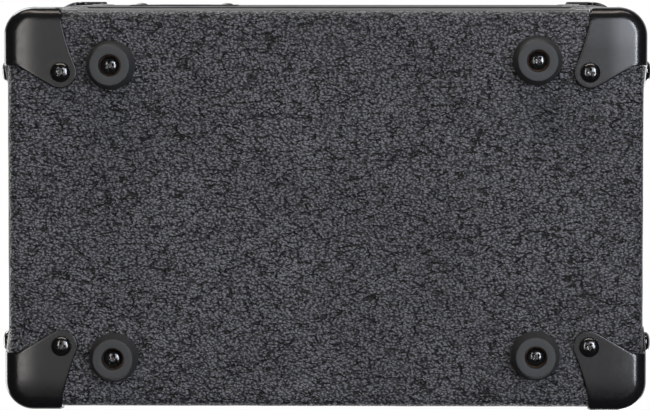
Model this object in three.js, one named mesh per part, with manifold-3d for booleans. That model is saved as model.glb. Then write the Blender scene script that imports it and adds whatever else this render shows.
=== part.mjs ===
// A small combo guitar amplifier: a vinyl-covered box on four rubber feet, with eight corner caps,
// a front control strip over a cloth-covered baffle, a 165 mm speaker, a half-open back and a strap handle.
// Millimetres, +Z up, the front faces -Y, and the origin is on the ground under the middle of the box.

import * as THREE from 'three';
import { RoundedBoxGeometry } from 'three/addons/geometries/RoundedBoxGeometry.js';
import { mergeVertices } from 'three/addons/utils/BufferGeometryUtils.js';
import Module from 'manifold-3d';

const wasm = await Module();
wasm.setup();

// ---- driving dimensions ----

const CLEARANCE = 0.3;

// Cabinet, measured over its covering. CORNER_RADIUS rounds the four upright edges in plan,
// and EDGE_RADIUS rounds all the edges of the top and the bottom.
const CABINET_WIDTH = 266;
const CABINET_DEPTH = 166;
const CABINET_HEIGHT = 262;
const VINYL_THICKNESS = 1;
const BOARD_THICKNESS = 12;
const GLUE_LINE = 0.2;
const CORNER_RADIUS = 10.6;
const EDGE_RADIUS = 4.2;
const EDGE_SEGMENTS = 3;

// Corner caps: a shell over the corner, with a screwed lobe on the end face and on the side face.
const CAP_THICKNESS = 1.2;
const CAP_LEG = 23;
const CAP_STRAIGHT_SIDE = 4.6;
const CAP_LOBE_ACROSS = 22.6;
const CAP_LOBE_ALONG = 25.7;
const CAP_LOBE_RADIUS = 6.7;
const CAP_FLARE_ANGLE = 22;
const CAP_TUCK_ANGLE = 30;
const CAP_FLARE_REACH = 11;
const CAP_LIP_WIDTH = 11;
const CAP_SCREW_HEAD_RADIUS = 4.2;
const CAP_SCREW_HEAD_HEIGHT = 2.7;
const HEAD_CROWN = 0.7;

// Feet: tapered rubber, with a deep counterbore for the screw. Each was fitted by hand, a little off its mark.
const FOOT_HEIGHT = 10;
const FOOT_BASE_RADIUS = 10.3;
const FOOT_FACE_RADIUS = 8.5;
const FOOT_EDGE = 0.6;
const FOOT_RECESS_RADIUS = 4.3;
const FOOT_RECESS_DEPTH = 4.6;
const FOOT_FROM_SIDE = 44.4;
const FOOT_FROM_FRONT = 21.5;
const FEET = [
  { name: 'rear_left', side: 1, end: 1, offX: 0.8, offY: -1.2 },
  { name: 'rear_right', side: -1, end: 1, offX: 0.1, offY: 0.8 },
  { name: 'front_left', side: 1, end: -1, offX: -0.2, offY: -0.6 },
  { name: 'front_right', side: -1, end: -1, offX: 0.7, offY: 0.4 },
];
const FOOT_SCREW_HEAD_RADIUS = 3.9;
const FOOT_SCREW_HEAD_HEIGHT = 2.4;
const FOOT_SCREW_HEAD_EDGE = 1;
const FOOT_SCREW_RADIUS = 2;
const FOOT_SCREW_LENGTH = 15;
const FOOT_SCREW_POINT = 3;

// Front: how far the grille and control strip stand back from the front edge, and their heights.
const FRONT_RECESS = 17;
const CLOTH_THICKNESS = 1;
const BAFFLE_THICKNESS = 12;
const STRIP_HEIGHT = 46;
const STRIP_THICKNESS = 1.5;

// Chassis: a folded steel L behind the control strip, with pillars for the circuit board.
const CHASSIS_THICKNESS = 1.2;
const CHASSIS_REAR_GAP = 26.5;
const BOARD_PILLAR_HEIGHT = 6;
const BOARD_PILLAR_RADIUS = 2.5;
const BOARD_PILLAR_INSET = 5;
const CIRCUIT_THICKNESS = 1.6;
const CIRCUIT_SIDE_GAP = 8;
const CIRCUIT_FRONT_GAP = 2;
const CIRCUIT_REAR_GAP = 3.5;
const WELD = 0.5;

// Controls, from the middle of the strip, left to right.
const INPUT_JACK_X = -101;
const KNOBS = [
  { name: 'gain', x: -73 },
  { name: 'volume', x: -27 },
  { name: 'bass', x: 3 },
  { name: 'treble', x: 33 },
];
const CHANNEL_BUTTON_X = -50;
const PHONES_JACK_X = 59;
const LAMP_X = 78;
const POWER_SWITCH_X = 98;
const SHAFT_RADIUS = 3;
const BUSH_RADIUS = 4.2;
const BUSH_LENGTH = 8;
const POT_WIDTH = 16;
const POT_DEPTH = 9;
const POT_RISE = 8;
const POT_END_WALL = 2;
const KNOB_RADIUS = 9;
const KNOB_HEIGHT = 13;
const KNOB_STANDOFF = 1.6;
const KNOB_SKIRT = 2;
const KNOB_SHOULDER = 4;
const KNOB_SHOULDER_RADIUS = 7.2;
const KNOB_TOP_RADIUS = 6.3;
const POINTER_WIDTH = 1.4;
const POINTER_LENGTH = 5.6;
const POINTER_RISE = 0.5;
const JACK_BORE_RADIUS = 3.3;
const JACK_BUSH_RADIUS = 4.7;
const JACK_NUT_RADIUS = 7;
const JACK_NUT_THICKNESS = 2.5;
const JACK_BUSH_SHOWS = 1;
const JACK_END_WALL = 2;
const JACK_BODY_WIDTH = 16;
const JACK_BODY_DEPTH = 24;
const BUTTON_WIDTH = 7;
const BUTTON_STANDOUT = 5;
const BUTTON_TRAVEL = 3;
const BUTTON_SEAT = 3.5;
const BUTTON_SWITCH_WIDTH = 12;
const BUTTON_SWITCH_WALL = 8;
const LAMP_RADIUS = 2.5;
const LAMP_STANDOUT = 3.4;
const LAMP_DOME = 2.4;
const LAMP_BASE = 3;
const LAMP_LEGS_WIDTH = 3;
const LAMP_LEGS_DEPTH = 1;
const ROCKER_WIDTH = 9;
const ROCKER_HEIGHT = 14.4;
const ROCKER_TILT = 8;
const ROCKER_SWING = 2.2;
const ROCKER_FRONT = 5.4;
const ROCKER_DISH = 1.1;
const ROCKER_SHOULDER = 1;
const ROCKER_HEEL = 2.5;
const TRUNNION_RADIUS = 1;
const TRUNNION_LENGTH = 1.1;
const SWITCH_PIVOT_DEPTH = 5.2;
const SWITCH_CAVITY_BACK = 5;
const SWITCH_WALL = 1.6;
const SWITCH_BEZEL = 1.4;
const SWITCH_BEZEL_LIP = 1.5;
const SWITCH_DEPTH = 17;

// Rear boards, the gap between them and the mains inlet.
const REAR_BOARD_THICKNESS = 9;
const REAR_UPPER_HEIGHT = 85;
const REAR_LOWER_HEIGHT = 80;
const INLET_X = 70;
const INLET_BELOW_TOP = 43;
const INLET_WIDTH = 27.4;
const INLET_HEIGHT = 20;
const INLET_WALL = 1.5;
const INLET_DEPTH = 23;
const INLET_FLANGE_WIDTH = 50;
const INLET_FLANGE_HEIGHT = 24;
const INLET_FLANGE_THICKNESS = 1.4;
const INLET_RECESS_DEPTH = 18;
const INLET_PIN_SPACING = 7;
const INLET_PIN_OFFSET = 2;
const INLET_PIN_WIDTH = 2;
const INLET_PIN_HEIGHT = 4;
const INLET_PIN_SETBACK = 4;
const INLET_PIN_ROOT = 1;

// Speaker, as radii about its axis and distances behind the back of the baffle.
const SPEAKER_RADIUS = 82.5;
const RIM_SEAT = 10.5;
const SHEET_STEEL = 1.4;
const SURROUND_WIDTH = 13.5;
const SURROUND_THICKNESS = 0.8;
const SURROUND_GLUE = 3;
const SURROUND_EDGE_GAP = 0.5;
const ROLL_RADIUS = 4;
const ROLL_FROM_CONE = 4.7;
const CONE_THICKNESS = 0.9;
const CONE_EDGE_FLAT = 2.6;
const CONE_DEPTH = 24;
const CONE_NECK_GLUE = 1.2;
const DUST_CAP_DEPTH = 12;
const DUST_CAP_OVERLAP = 5;
const DUST_CAP_THICKNESS = 1;
const SPIDER_DEPTH = 29;
const SPIDER_LEDGE = 7.6;
const BASKET_NECK_LIP = 0.4;
const BASKET_RIM_INSET = 4;
const BASKET_SHOULDER = 1.6;
const BASKET_DEPTH = 43;
const BASKET_WINDOWS = 6;
const BASKET_WINDOW_WIDTH = 34;
const BASKET_WINDOW_FRONT = 4;
const BASKET_WINDOW_BACK = 5;
const COIL_RADIUS = 13.4;
const COIL_WALL = 0.8;
const COIL_GAP = 0.6;
const TOP_PLATE_THICKNESS = 5;
const MAGNET_RADIUS = 45;
const MAGNET_PLATE_INSET = 3;
const MAGNET_THICKNESS = 14;
const MAGNET_HOLE_RADIUS = 22;
const BACK_PLATE_THICKNESS = 5;

// Power supply parts on the chassis.
const TRANSFORMER_X = 78;
const TRANSFORMER_FROM_BACK = 22.5;
const CORE_WIDTH = 54;
const CORE_HEIGHT = 40;
const CORE_STACK = 22;
const CORE_LEG = 9;
const WINDING_BUILD = 7.5;
const HEAT_SINK_X = -84;
const HEAT_SINK_FROM_BACK = 23.5;
const HEAT_SINK_WIDTH = 52;
const HEAT_SINK_HEIGHT = 30;
const HEAT_SINK_DEPTH = 25;
const HEAT_SINK_FINS = 7;
const HEAT_SINK_SPINE = 4;
const HEAT_SINK_FIN_THICKNESS = 2;
const CAPACITOR_RADIUS = 9;
const CAPACITOR_HEIGHT = 25;
const CAPACITOR_EDGE = 1;
const CAPACITORS_X = [12, 36];
const CAPACITORS_FROM_BACK = 12.7;

// Handle: a padded grip on a strap whose two ends run under end caps on the top.
const GRIP_LENGTH = 96;
const GRIP_WIDTH = 26;
const GRIP_THICKNESS = 8;
const FINGER_GAP = 15;
const STRAP_WIDTH = 22;
const STRAP_THICKNESS = 3.6;
const STRAP_LIFT = 1.5;
const STRAP_TUCKED = 20;
const STRAP_INNER_BEND = 3;
const GRIP_EDGE = 3.36;
const END_CAP_X = 91;
const END_CAP_LENGTH = 30;
const END_CAP_WIDTH = 30;
const END_CAP_HEIGHT = 8;
const END_CAP_EDGE = 5;
const END_CAP_SLOT_GAP = 2;

// ---- places that follow from the sizes ----

const shellThickness = VINYL_THICKNESS + BOARD_THICKNESS;
const cabinetMiddle = FOOT_HEIGHT + CABINET_HEIGHT / 2;
const insideWidth = CABINET_WIDTH - 2 * shellThickness;
const insideHeight = CABINET_HEIGHT - 2 * shellThickness;
const fittedWidth = insideWidth - 2 * CLEARANCE;
const insideTop = insideHeight / 2;
const frontPlane = FRONT_RECESS - CABINET_DEPTH / 2;
const stripTop = insideTop - CLEARANCE;
const stripBottom = stripTop - STRIP_HEIGHT;
const stripMiddle = stripBottom + STRIP_HEIGHT / 2;
const stripBack = frontPlane + STRIP_THICKNESS;
const flangeBack = stripBack + CHASSIS_THICKNESS;
const shelfTop = stripBottom + CHASSIS_THICKNESS;
const circuitBottom = shelfTop + BOARD_PILLAR_HEIGHT;
const circuitTop = circuitBottom + CIRCUIT_THICKNESS;
const chassisBack = CABINET_DEPTH / 2 - REAR_BOARD_THICKNESS - CHASSIS_REAR_GAP;
const transformerMiddle = chassisBack - TRANSFORMER_FROM_BACK;
const windingFront = transformerMiddle - CORE_STACK / 2 - CLEARANCE - WINDING_BUILD;
const circuitWidth = insideWidth - 2 * CIRCUIT_SIDE_GAP;
const circuitFront = flangeBack + CIRCUIT_FRONT_GAP;
const circuitBack = windingFront - CIRCUIT_REAR_GAP;
const baffleTop = stripBottom - CLEARANCE;
const baffleBottom = CLEARANCE - insideTop;
const baffleHeight = baffleTop - baffleBottom;
const baffleMiddle = (baffleTop + baffleBottom) / 2;
const baffleFront = frontPlane + CLOTH_THICKNESS;
const baffleBack = baffleFront + BAFFLE_THICKNESS;
const rearPlane = CABINET_DEPTH / 2;
const cabinetTop = CABINET_HEIGHT / 2;
const speakerHoleRadius = SPEAKER_RADIUS - RIM_SEAT;
const coneRadius = speakerHoleRadius - SURROUND_WIDTH;
const magnetPlateRadius = MAGNET_RADIUS - MAGNET_PLATE_INSET;
const neckRadius = magnetPlateRadius + BASKET_NECK_LIP;
const ledgeRadius = neckRadius + SPIDER_LEDGE;
const switchCavityHeight = ROCKER_HEIGHT + ROCKER_SWING;
const switchBodyWidth = ROCKER_WIDTH + 2 * CLEARANCE + 2 * SWITCH_WALL;
const switchBodyHeight = switchCavityHeight + 2 * SWITCH_WALL;

// ---- shape tools ----

function toSolid(geometry) {
  const bare = geometry.clone();
  bare.deleteAttribute('normal');
  bare.deleteAttribute('uv');
  const merged = mergeVertices(bare, 1e-4);
  const vertProperties = new Float32Array(merged.attributes.position.array);
  const triVerts = new Uint32Array(merged.index.array);
  return new wasm.Manifold(new wasm.Mesh({ numProp: 3, vertProperties, triVerts }));
}

function toGeometry(solid) {
  const { vertProperties, triVerts } = solid.getMesh();
  const geometry = new THREE.BufferGeometry();
  geometry.setAttribute('position', new THREE.BufferAttribute(new Float32Array(vertProperties), 3));
  geometry.setIndex(new THREE.BufferAttribute(new Uint32Array(triVerts), 1));
  return geometry;
}

function join(...shapes) {
  return toGeometry(shapes.map(toSolid).reduce((whole, next) => whole.add(next)));
}

function cut(shape, ...tools) {
  return toGeometry(tools.map(toSolid).reduce((rest, tool) => rest.subtract(tool), toSolid(shape)));
}

function common(shape, tool) {
  return toGeometry(toSolid(shape).intersect(toSolid(tool)));
}

function reversed(geometry) {
  const index = geometry.index.array;
  for (let i = 0; i < index.length; i += 3) {
    [index[i + 1], index[i + 2]] = [index[i + 2], index[i + 1]];
  }
  return geometry;
}

function mirrored(geometry, signX, signY, signZ) {
  const copy = geometry.clone().scale(signX, signY, signZ);
  return signX * signY * signZ < 0 ? reversed(copy) : copy;
}

// A box between two corners.
function slab([x0, x1], [y0, y1], [z0, z1]) {
  const shape = new THREE.BoxGeometry(x1 - x0, y1 - y0, z1 - z0);
  return shape.translate((x0 + x1) / 2, (y0 + y1) / 2, (z0 + z1) / 2);
}

function middleSlab(width, [y0, y1], height) {
  return slab([-width / 2, width / 2], [y0, y1], [-height / 2, height / 2]);
}

// A turned shape about the Y axis, from [radius, y] points that start and end on the axis or close up.
function turned(points, sides) {
  const profile = points.map(([radius, y]) => new THREE.Vector2(radius, y));
  const shape = toGeometry(toSolid(new THREE.LatheGeometry(profile, sides)));
  return toSolid(shape).volume() < 0 ? reversed(shape) : shape;
}

function rod(radius, [y0, y1], sides = 12) {
  return turned([[0, y0], [radius, y0], [radius, y1], [0, y1]], sides);
}

function ring(inner, outer, [y0, y1], sides) {
  return turned([[inner, y0], [outer, y0], [outer, y1], [inner, y1], [inner, y0]], sides);
}

// A flat outline in X and Z, given a thickness along Y about y = 0.
function plate(shape, thickness, curveSegments = 6) {
  const solid = new THREE.ExtrudeGeometry(shape, { depth: thickness, bevelEnabled: false, curveSegments });
  return solid.translate(0, 0, -thickness / 2).rotateX(Math.PI / 2);
}

// The cabinet's outer form, grown or shrunk by the same amount all round.
function cabinetBlock(growth) {
  const edge = EDGE_RADIUS + growth;
  const corner = CORNER_RADIUS - EDGE_RADIUS;
  const halfX = CABINET_WIDTH / 2 - EDGE_RADIUS - corner;
  const halfY = CABINET_DEPTH / 2 - EDGE_RADIUS - corner;
  const plan = new THREE.Shape();
  plan.absarc(halfX, halfY, corner, 0, Math.PI / 2);
  plan.absarc(-halfX, halfY, corner, Math.PI / 2, Math.PI);
  plan.absarc(-halfX, -halfY, corner, Math.PI, 1.5 * Math.PI);
  plan.absarc(halfX, -halfY, corner, 1.5 * Math.PI, 2 * Math.PI);
  const depth = CABINET_HEIGHT - 2 * EDGE_RADIUS;
  const block = new THREE.ExtrudeGeometry(plan, {
    depth,
    bevelThickness: edge,
    bevelSize: edge,
    bevelSegments: EDGE_SEGMENTS,
    curveSegments: EDGE_SEGMENTS,
  });
  return block.translate(0, 0, -depth / 2);
}

// ---- materials ----

function finish(name, color, roughness, metalness = 0) {
  return new THREE.MeshStandardMaterial({ name, color, roughness, metalness });
}

const materials = {
  vinyl: finish('embossed_vinyl', 0x3a3c3e, 0.55),
  board: finish('bare_board', 0x8a6a48, 0.85),
  blackBoard: finish('black_painted_board', 0x1c1c1d, 0.75),
  cap: finish('black_moulded_cap', 0x1a1a1b, 0.35),
  rubber: finish('black_rubber', 0x2a2b2d, 0.7),
  blackScrew: finish('black_screw', 0x161617, 0.3, 0.8),
  cloth: finish('grille_cloth', 0x2b2b2c, 0.9),
  strip: finish('black_painted_strip', 0x17181a, 0.4, 0.3),
  knob: finish('black_knob', 0x121213, 0.35),
  plastic: finish('black_plastic', 0x1b1b1c, 0.5),
  steel: finish('zinc_plated_steel', 0xa6a8a6, 0.4, 0.9),
  circuit: finish('green_circuit_board', 0x1f5a33, 0.5),
  winding: finish('taped_winding', 0xb98a2f, 0.6),
  core: finish('laminated_core', 0x4a4643, 0.6, 0.6),
  aluminium: finish('extruded_aluminium', 0x9fa3a6, 0.45, 0.9),
  capacitor: finish('capacitor_sleeve', 0x20242c, 0.4),
  lamp: finish('red_lamp', 0xb3201c, 0.15),
  paper: finish('pressed_paper_cone', 0x252423, 0.9),
  cambric: finish('treated_cloth', 0xb08d55, 0.85),
  magnet: finish('ferrite_magnet', 0x3b3b3d, 0.7),
};

const amplifier = new THREE.Group();
const cabinet = new THREE.Group();
cabinet.position.z = cabinetMiddle;
amplifier.add(cabinet);

function add(group, name, geometry, material, [x, y, z] = [0, 0, 0]) {
  const mesh = new THREE.Mesh(geometry, material);
  mesh.name = name;
  mesh.position.set(x, y, z);
  group.add(mesh);
  return mesh;
}

// ---- cabinet ----

function footPlace({ side, end, offX, offY }) {
  return [
    side * (CABINET_WIDTH / 2 - FOOT_FROM_SIDE) + offX,
    end * (CABINET_DEPTH / 2 - FOOT_FROM_FRONT) + offY,
  ];
}

// Clearance holes for the foot screws, in cabinet places.
function footHoles() {
  const bottom = -cabinetTop - 1;
  const depth = FOOT_SCREW_LENGTH + 2;
  return FEET.map((foot) => {
    const [x, y] = footPlace(foot);
    return rod(FOOT_SCREW_RADIUS + CLEARANCE, [0, depth], 12).rotateX(Math.PI / 2).translate(x, y, bottom);
  });
}

function buildCovering() {
  const skin = cut(
    cabinetBlock(0),
    cabinetBlock(-VINYL_THICKNESS),
    middleSlab(insideWidth, [-CABINET_DEPTH, CABINET_DEPTH], insideHeight),
    ...footHoles(),
  );
  add(cabinet, 'vinyl_covering', skin, materials.vinyl);
}

function buildPanels() {
  const boards = cabinetBlock(-VINYL_THICKNESS - GLUE_LINE);
  const halfDepth = [-CABINET_DEPTH / 2, CABINET_DEPTH / 2];
  const fullWidth = [-CABINET_WIDTH / 2, CABINET_WIDTH / 2];
  const topBand = [insideTop, cabinetTop];
  const bottomBand = [-cabinetTop, -insideTop];
  const sideBand = [insideWidth / 2, CABINET_WIDTH / 2];
  const side = common(boards, slab(sideBand, halfDepth, [-insideTop, insideTop]));
  add(cabinet, 'top_panel', common(boards, slab(fullWidth, halfDepth, topBand)), materials.board);
  const floor = common(boards, slab(fullWidth, halfDepth, bottomBand));
  add(cabinet, 'bottom_panel', cut(floor, ...footHoles()), materials.board);
  add(cabinet, 'left_panel', side, materials.board);
  add(cabinet, 'right_panel', mirrored(side, -1, 1, 1), materials.board);
}

// ---- corner caps ----

// The outline of one lobed face: two straight legs from the corner, each flaring to a round end about the
// screw. u runs across the cabinet and v along it, both measured inwards from the corner.
function lobeOutline() {
  const over = 2 * CAP_THICKNESS;
  const flare = THREE.MathUtils.degToRad(CAP_FLARE_ANGLE);
  const tuck = THREE.MathUtils.degToRad(CAP_TUCK_ANGLE);
  const flareEnd = onLobe(-flare);
  const tuckEnd = onLobe(Math.PI / 2 + tuck);
  const shape = new THREE.Shape();
  shape.moveTo(-over, -over);
  shape.lineTo(CAP_LEG, -over);
  shape.lineTo(CAP_LEG, CAP_STRAIGHT_SIDE);
  shape.quadraticCurveTo(
    flareEnd[0] - CAP_FLARE_REACH * Math.sin(flare),
    flareEnd[1] - CAP_FLARE_REACH * Math.cos(flare),
    ...flareEnd,
  );
  shape.absarc(CAP_LOBE_ACROSS, CAP_LOBE_ALONG, CAP_LOBE_RADIUS, -flare, Math.PI / 2 + tuck);
  shape.quadraticCurveTo(
    tuckEnd[0] - CAP_FLARE_REACH * Math.cos(tuck),
    tuckEnd[1] - CAP_FLARE_REACH * Math.sin(tuck),
    CAP_STRAIGHT_SIDE,
    CAP_LEG,
  );
  shape.lineTo(-over, CAP_LEG);
  return shape;
}

// A point on the lobe's round end.
function onLobe(angle) {
  return [
    CAP_LOBE_ACROSS + CAP_LOBE_RADIUS * Math.cos(angle),
    CAP_LOBE_ALONG + CAP_LOBE_RADIUS * Math.sin(angle),
  ];
}

// The front or rear face of a cap only covers the edge of the boards.
function lipOutline() {
  const over = 2 * CAP_THICKNESS;
  const shape = new THREE.Shape();
  shape.moveTo(-over, -over);
  shape.lineTo(CAP_LEG, -over);
  shape.lineTo(CAP_LEG, CAP_LIP_WIDTH);
  shape.lineTo(CAP_LIP_WIDTH, CAP_LIP_WIDTH);
  shape.lineTo(CAP_LIP_WIDTH, CAP_LEG);
  shape.lineTo(-over, CAP_LEG);
  return shape;
}

// The block of space behind one outline, turned so that it lies inwards from the (+X, +Y, +Z) corner.
function coverage(shape, uAxis, vAxis, depthAxis) {
  const depth = Math.max(CORNER_RADIUS, EDGE_RADIUS) + 1;
  const over = 2 * CAP_THICKNESS;
  const block = new THREE.ExtrudeGeometry(shape, {
    depth: depth + over,
    bevelEnabled: false,
    curveSegments: 4,
  });
  block.translate(0, 0, -over);
  block.applyMatrix4(new THREE.Matrix4().makeBasis(uAxis, vAxis, depthAxis));
  const turns = new THREE.Vector3().crossVectors(uAxis, vAxis).dot(depthAxis);
  if (!block.index) block.setIndex([...Array(block.attributes.position.count).keys()]);
  if (turns < 0) reversed(block);
  return block.translate(CABINET_WIDTH / 2, CABINET_DEPTH / 2, cabinetTop);
}

// A domed screw head whose seat is at the origin and which stands out along +Y.
function screwHead(radius, height) {
  return turned([
    [0, -CAP_THICKNESS / 2],
    [radius, -CAP_THICKNESS / 2],
    [radius, height / 3],
    [radius * HEAD_CROWN, height - CAP_THICKNESS / 3],
    [0, height],
  ], 12);
}

function buildCornerCaps() {
  const inX = new THREE.Vector3(-1, 0, 0);
  const inY = new THREE.Vector3(0, -1, 0);
  const inZ = new THREE.Vector3(0, 0, -1);
  const covered = join(
    coverage(lobeOutline(), inX, inY, inZ),
    coverage(lobeOutline(), inZ, inY, inX),
    coverage(lipOutline(), inX, inZ, inY),
  );
  const stand = GLUE_LINE + CAP_THICKNESS;
  const shell = cut(common(cabinetBlock(stand), covered), cabinetBlock(GLUE_LINE));
  const head = screwHead(CAP_SCREW_HEAD_RADIUS, CAP_SCREW_HEAD_HEIGHT);
  const endHead = head.clone().rotateX(Math.PI / 2).translate(
    CABINET_WIDTH / 2 - CAP_LOBE_ACROSS,
    CABINET_DEPTH / 2 - CAP_LOBE_ALONG,
    cabinetTop + stand,
  );
  const sideHead = head.clone().rotateZ(-Math.PI / 2).translate(
    CABINET_WIDTH / 2 + stand,
    CABINET_DEPTH / 2 - CAP_LOBE_ALONG,
    cabinetTop - CAP_LOBE_ACROSS,
  );
  const cap = join(shell, endHead, sideHead);
  for (const [level, signZ] of [['bottom', -1], ['top', 1]]) {
    for (const [end, signY] of [['front', -1], ['rear', 1]]) {
      for (const [side, signX] of [['left', 1], ['right', -1]]) {
        add(cabinet, `corner_cap_${level}_${end}_${side}`, mirrored(cap, signX, signY, signZ), materials.cap);
      }
    }
  }
}

// ---- feet ----

function footShape() {
  const floor = FOOT_RECESS_DEPTH;
  return turned([
    [FOOT_SCREW_RADIUS + CLEARANCE, floor],
    [FOOT_RECESS_RADIUS, floor],
    [FOOT_RECESS_RADIUS, FOOT_EDGE / 2],
    [FOOT_RECESS_RADIUS + FOOT_EDGE / 2, 0],
    [FOOT_FACE_RADIUS - FOOT_EDGE, 0],
    [FOOT_FACE_RADIUS, FOOT_EDGE],
    [FOOT_BASE_RADIUS, FOOT_HEIGHT],
    [FOOT_SCREW_RADIUS + CLEARANCE, FOOT_HEIGHT],
    [FOOT_SCREW_RADIUS + CLEARANCE, floor],
  ], 20).rotateX(Math.PI / 2);
}

function footScrewShape() {
  const seat = FOOT_RECESS_DEPTH;
  const face = seat - FOOT_SCREW_HEAD_HEIGHT;
  const radius = FOOT_SCREW_HEAD_RADIUS;
  return turned([
    [0, face],
    [radius * HEAD_CROWN, seat - 2 * FOOT_SCREW_HEAD_EDGE],
    [radius, seat - FOOT_SCREW_HEAD_EDGE],
    [radius, seat],
    [FOOT_SCREW_RADIUS, seat],
    [FOOT_SCREW_RADIUS, seat + FOOT_SCREW_LENGTH - FOOT_SCREW_POINT],
    [0, seat + FOOT_SCREW_LENGTH],
  ], 12).rotateX(Math.PI / 2);
}

function buildFeet() {
  for (const foot of FEET) {
    const [x, y] = footPlace(foot);
    add(amplifier, `foot_${foot.name}`, footShape(), materials.rubber, [x, y, 0]);
    add(amplifier, `foot_screw_${foot.name}`, footScrewShape(), materials.blackScrew, [x, y, 0]);
  }
}

// ---- front: baffle, cloth and control strip ----

function buildBaffle() {
  const hole = rod(speakerHoleRadius, [baffleFront - 1, baffleBack + 1], 28);
  const board = middleSlab(fittedWidth, [baffleFront, baffleBack], baffleHeight);
  add(cabinet, 'baffle_board', cut(board, hole), materials.blackBoard, [0, 0, baffleMiddle]);
  const cloth = middleSlab(fittedWidth, [frontPlane, baffleFront], baffleHeight);
  add(cabinet, 'grille_cloth', cloth, materials.cloth, [0, 0, baffleMiddle]);
}

// Every hole that the controls need, through the strip and the chassis flange behind it.
function controlHoles() {
  const through = [frontPlane - 1, flangeBack + 1];
  const bushHoles = KNOBS.map(({ x }) => rod(BUSH_RADIUS + CLEARANCE, through).translate(x, 0, stripMiddle));
  const jackHoles = [INPUT_JACK_X, PHONES_JACK_X].map(
    (x) => rod(JACK_BUSH_RADIUS + CLEARANCE, through).translate(x, 0, stripMiddle));
  const buttonHole = middleSlab(BUTTON_WIDTH + 2 * CLEARANCE, through, BUTTON_WIDTH + 2 * CLEARANCE);
  const switchHole = middleSlab(switchBodyWidth + 2 * CLEARANCE, through, switchBodyHeight + 2 * CLEARANCE);
  return [
    ...bushHoles,
    ...jackHoles,
    buttonHole.translate(CHANNEL_BUTTON_X, 0, stripMiddle),
    rod(LAMP_RADIUS + CLEARANCE, through).translate(LAMP_X, 0, stripMiddle),
    switchHole.translate(POWER_SWITCH_X, 0, stripMiddle),
  ];
}

function buildControlStrip() {
  const face = slab([-fittedWidth / 2, fittedWidth / 2], [frontPlane, stripBack], [stripBottom, stripTop]);
  add(cabinet, 'control_strip', cut(face, ...controlHoles()), materials.strip);
}

function buildChassis() {
  const halfWidth = [-fittedWidth / 2, fittedWidth / 2];
  const flange = slab(halfWidth, [stripBack, flangeBack], [stripBottom, stripTop]);
  const shelf = slab(halfWidth, [stripBack, chassisBack], [stripBottom, shelfTop]);
  const pillars = [];
  for (const side of [-1, 1]) {
    for (const y of [circuitFront + BOARD_PILLAR_INSET, circuitBack - BOARD_PILLAR_INSET]) {
      const x = side * (circuitWidth / 2 - BOARD_PILLAR_INSET);
      const pillar = rod(BOARD_PILLAR_RADIUS, [0, BOARD_PILLAR_HEIGHT + WELD], 10).rotateX(Math.PI / 2);
      pillars.push(pillar.translate(x, y, shelfTop - WELD));
    }
  }
  add(cabinet, 'chassis', cut(join(flange, shelf, ...pillars), ...controlHoles()), materials.steel);
}

function buildCircuit() {
  const width = [-circuitWidth / 2, circuitWidth / 2];
  const board = slab(width, [circuitFront, circuitBack], [circuitBottom, circuitTop]);
  add(cabinet, 'circuit_board', board, materials.circuit);
  CAPACITORS_X.forEach((x, i) => {
    const can = turned([
      [0, 0],
      [CAPACITOR_RADIUS, 0],
      [CAPACITOR_RADIUS, CAPACITOR_HEIGHT - CAPACITOR_EDGE],
      [CAPACITOR_RADIUS - CAPACITOR_EDGE, CAPACITOR_HEIGHT],
      [0, CAPACITOR_HEIGHT],
    ], 20).rotateX(Math.PI / 2);
    const place = [x, circuitBack - CAPACITORS_FROM_BACK, circuitTop];
    add(cabinet, `filter_capacitor_${i + 1}`, can, materials.capacitor, place);
  });
}

// A potentiometer stands on the circuit board, with its threaded bush through the strip.
function potShape() {
  const depth = [flangeBack, flangeBack + POT_DEPTH];
  const body = slab([-POT_WIDTH / 2, POT_WIDTH / 2], depth, [circuitTop - stripMiddle, POT_RISE]);
  const bush = rod(BUSH_RADIUS, [frontPlane - BUSH_LENGTH + KNOB_STANDOFF, flangeBack + 1]);
  const boreEnd = flangeBack + POT_DEPTH - POT_END_WALL;
  const bore = rod(SHAFT_RADIUS + CLEARANCE, [frontPlane - BUSH_LENGTH, boreEnd]);
  return cut(join(body, bush), bore);
}

// A skirted knob on its shaft: the skirt is hollow around the bush, and a raised pointer runs up its front.
function knobShape() {
  const back = frontPlane - KNOB_STANDOFF;
  const front = back - KNOB_HEIGHT;
  const cavityRadius = BUSH_RADIUS + 2 * CLEARANCE;
  const cavityEnd = frontPlane - BUSH_LENGTH + KNOB_STANDOFF - CLEARANCE;
  const shaftEnd = flangeBack + POT_DEPTH - POT_END_WALL - 1;
  const body = turned([
    [0, shaftEnd],
    [SHAFT_RADIUS, shaftEnd],
    [SHAFT_RADIUS, cavityEnd],
    [cavityRadius, cavityEnd],
    [cavityRadius, back],
    [KNOB_RADIUS, back],
    [KNOB_RADIUS, back - KNOB_SKIRT],
    [KNOB_SHOULDER_RADIUS, back - KNOB_SHOULDER],
    [KNOB_TOP_RADIUS, front],
    [0, front],
  ], 16);
  const pointer = slab(
    [-POINTER_WIDTH / 2, POINTER_WIDTH / 2], [front - POINTER_RISE, front + POINTER_RISE], [0, POINTER_LENGTH]);
  return join(body, pointer);
}

function buildKnobs() {
  for (const { name, x } of KNOBS) {
    add(cabinet, `${name}_potentiometer`, potShape(), materials.steel, [x, 0, stripMiddle]);
    add(cabinet, `${name}_knob`, knobShape(), materials.knob, [x, 0, stripMiddle]);
  }
}

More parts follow.
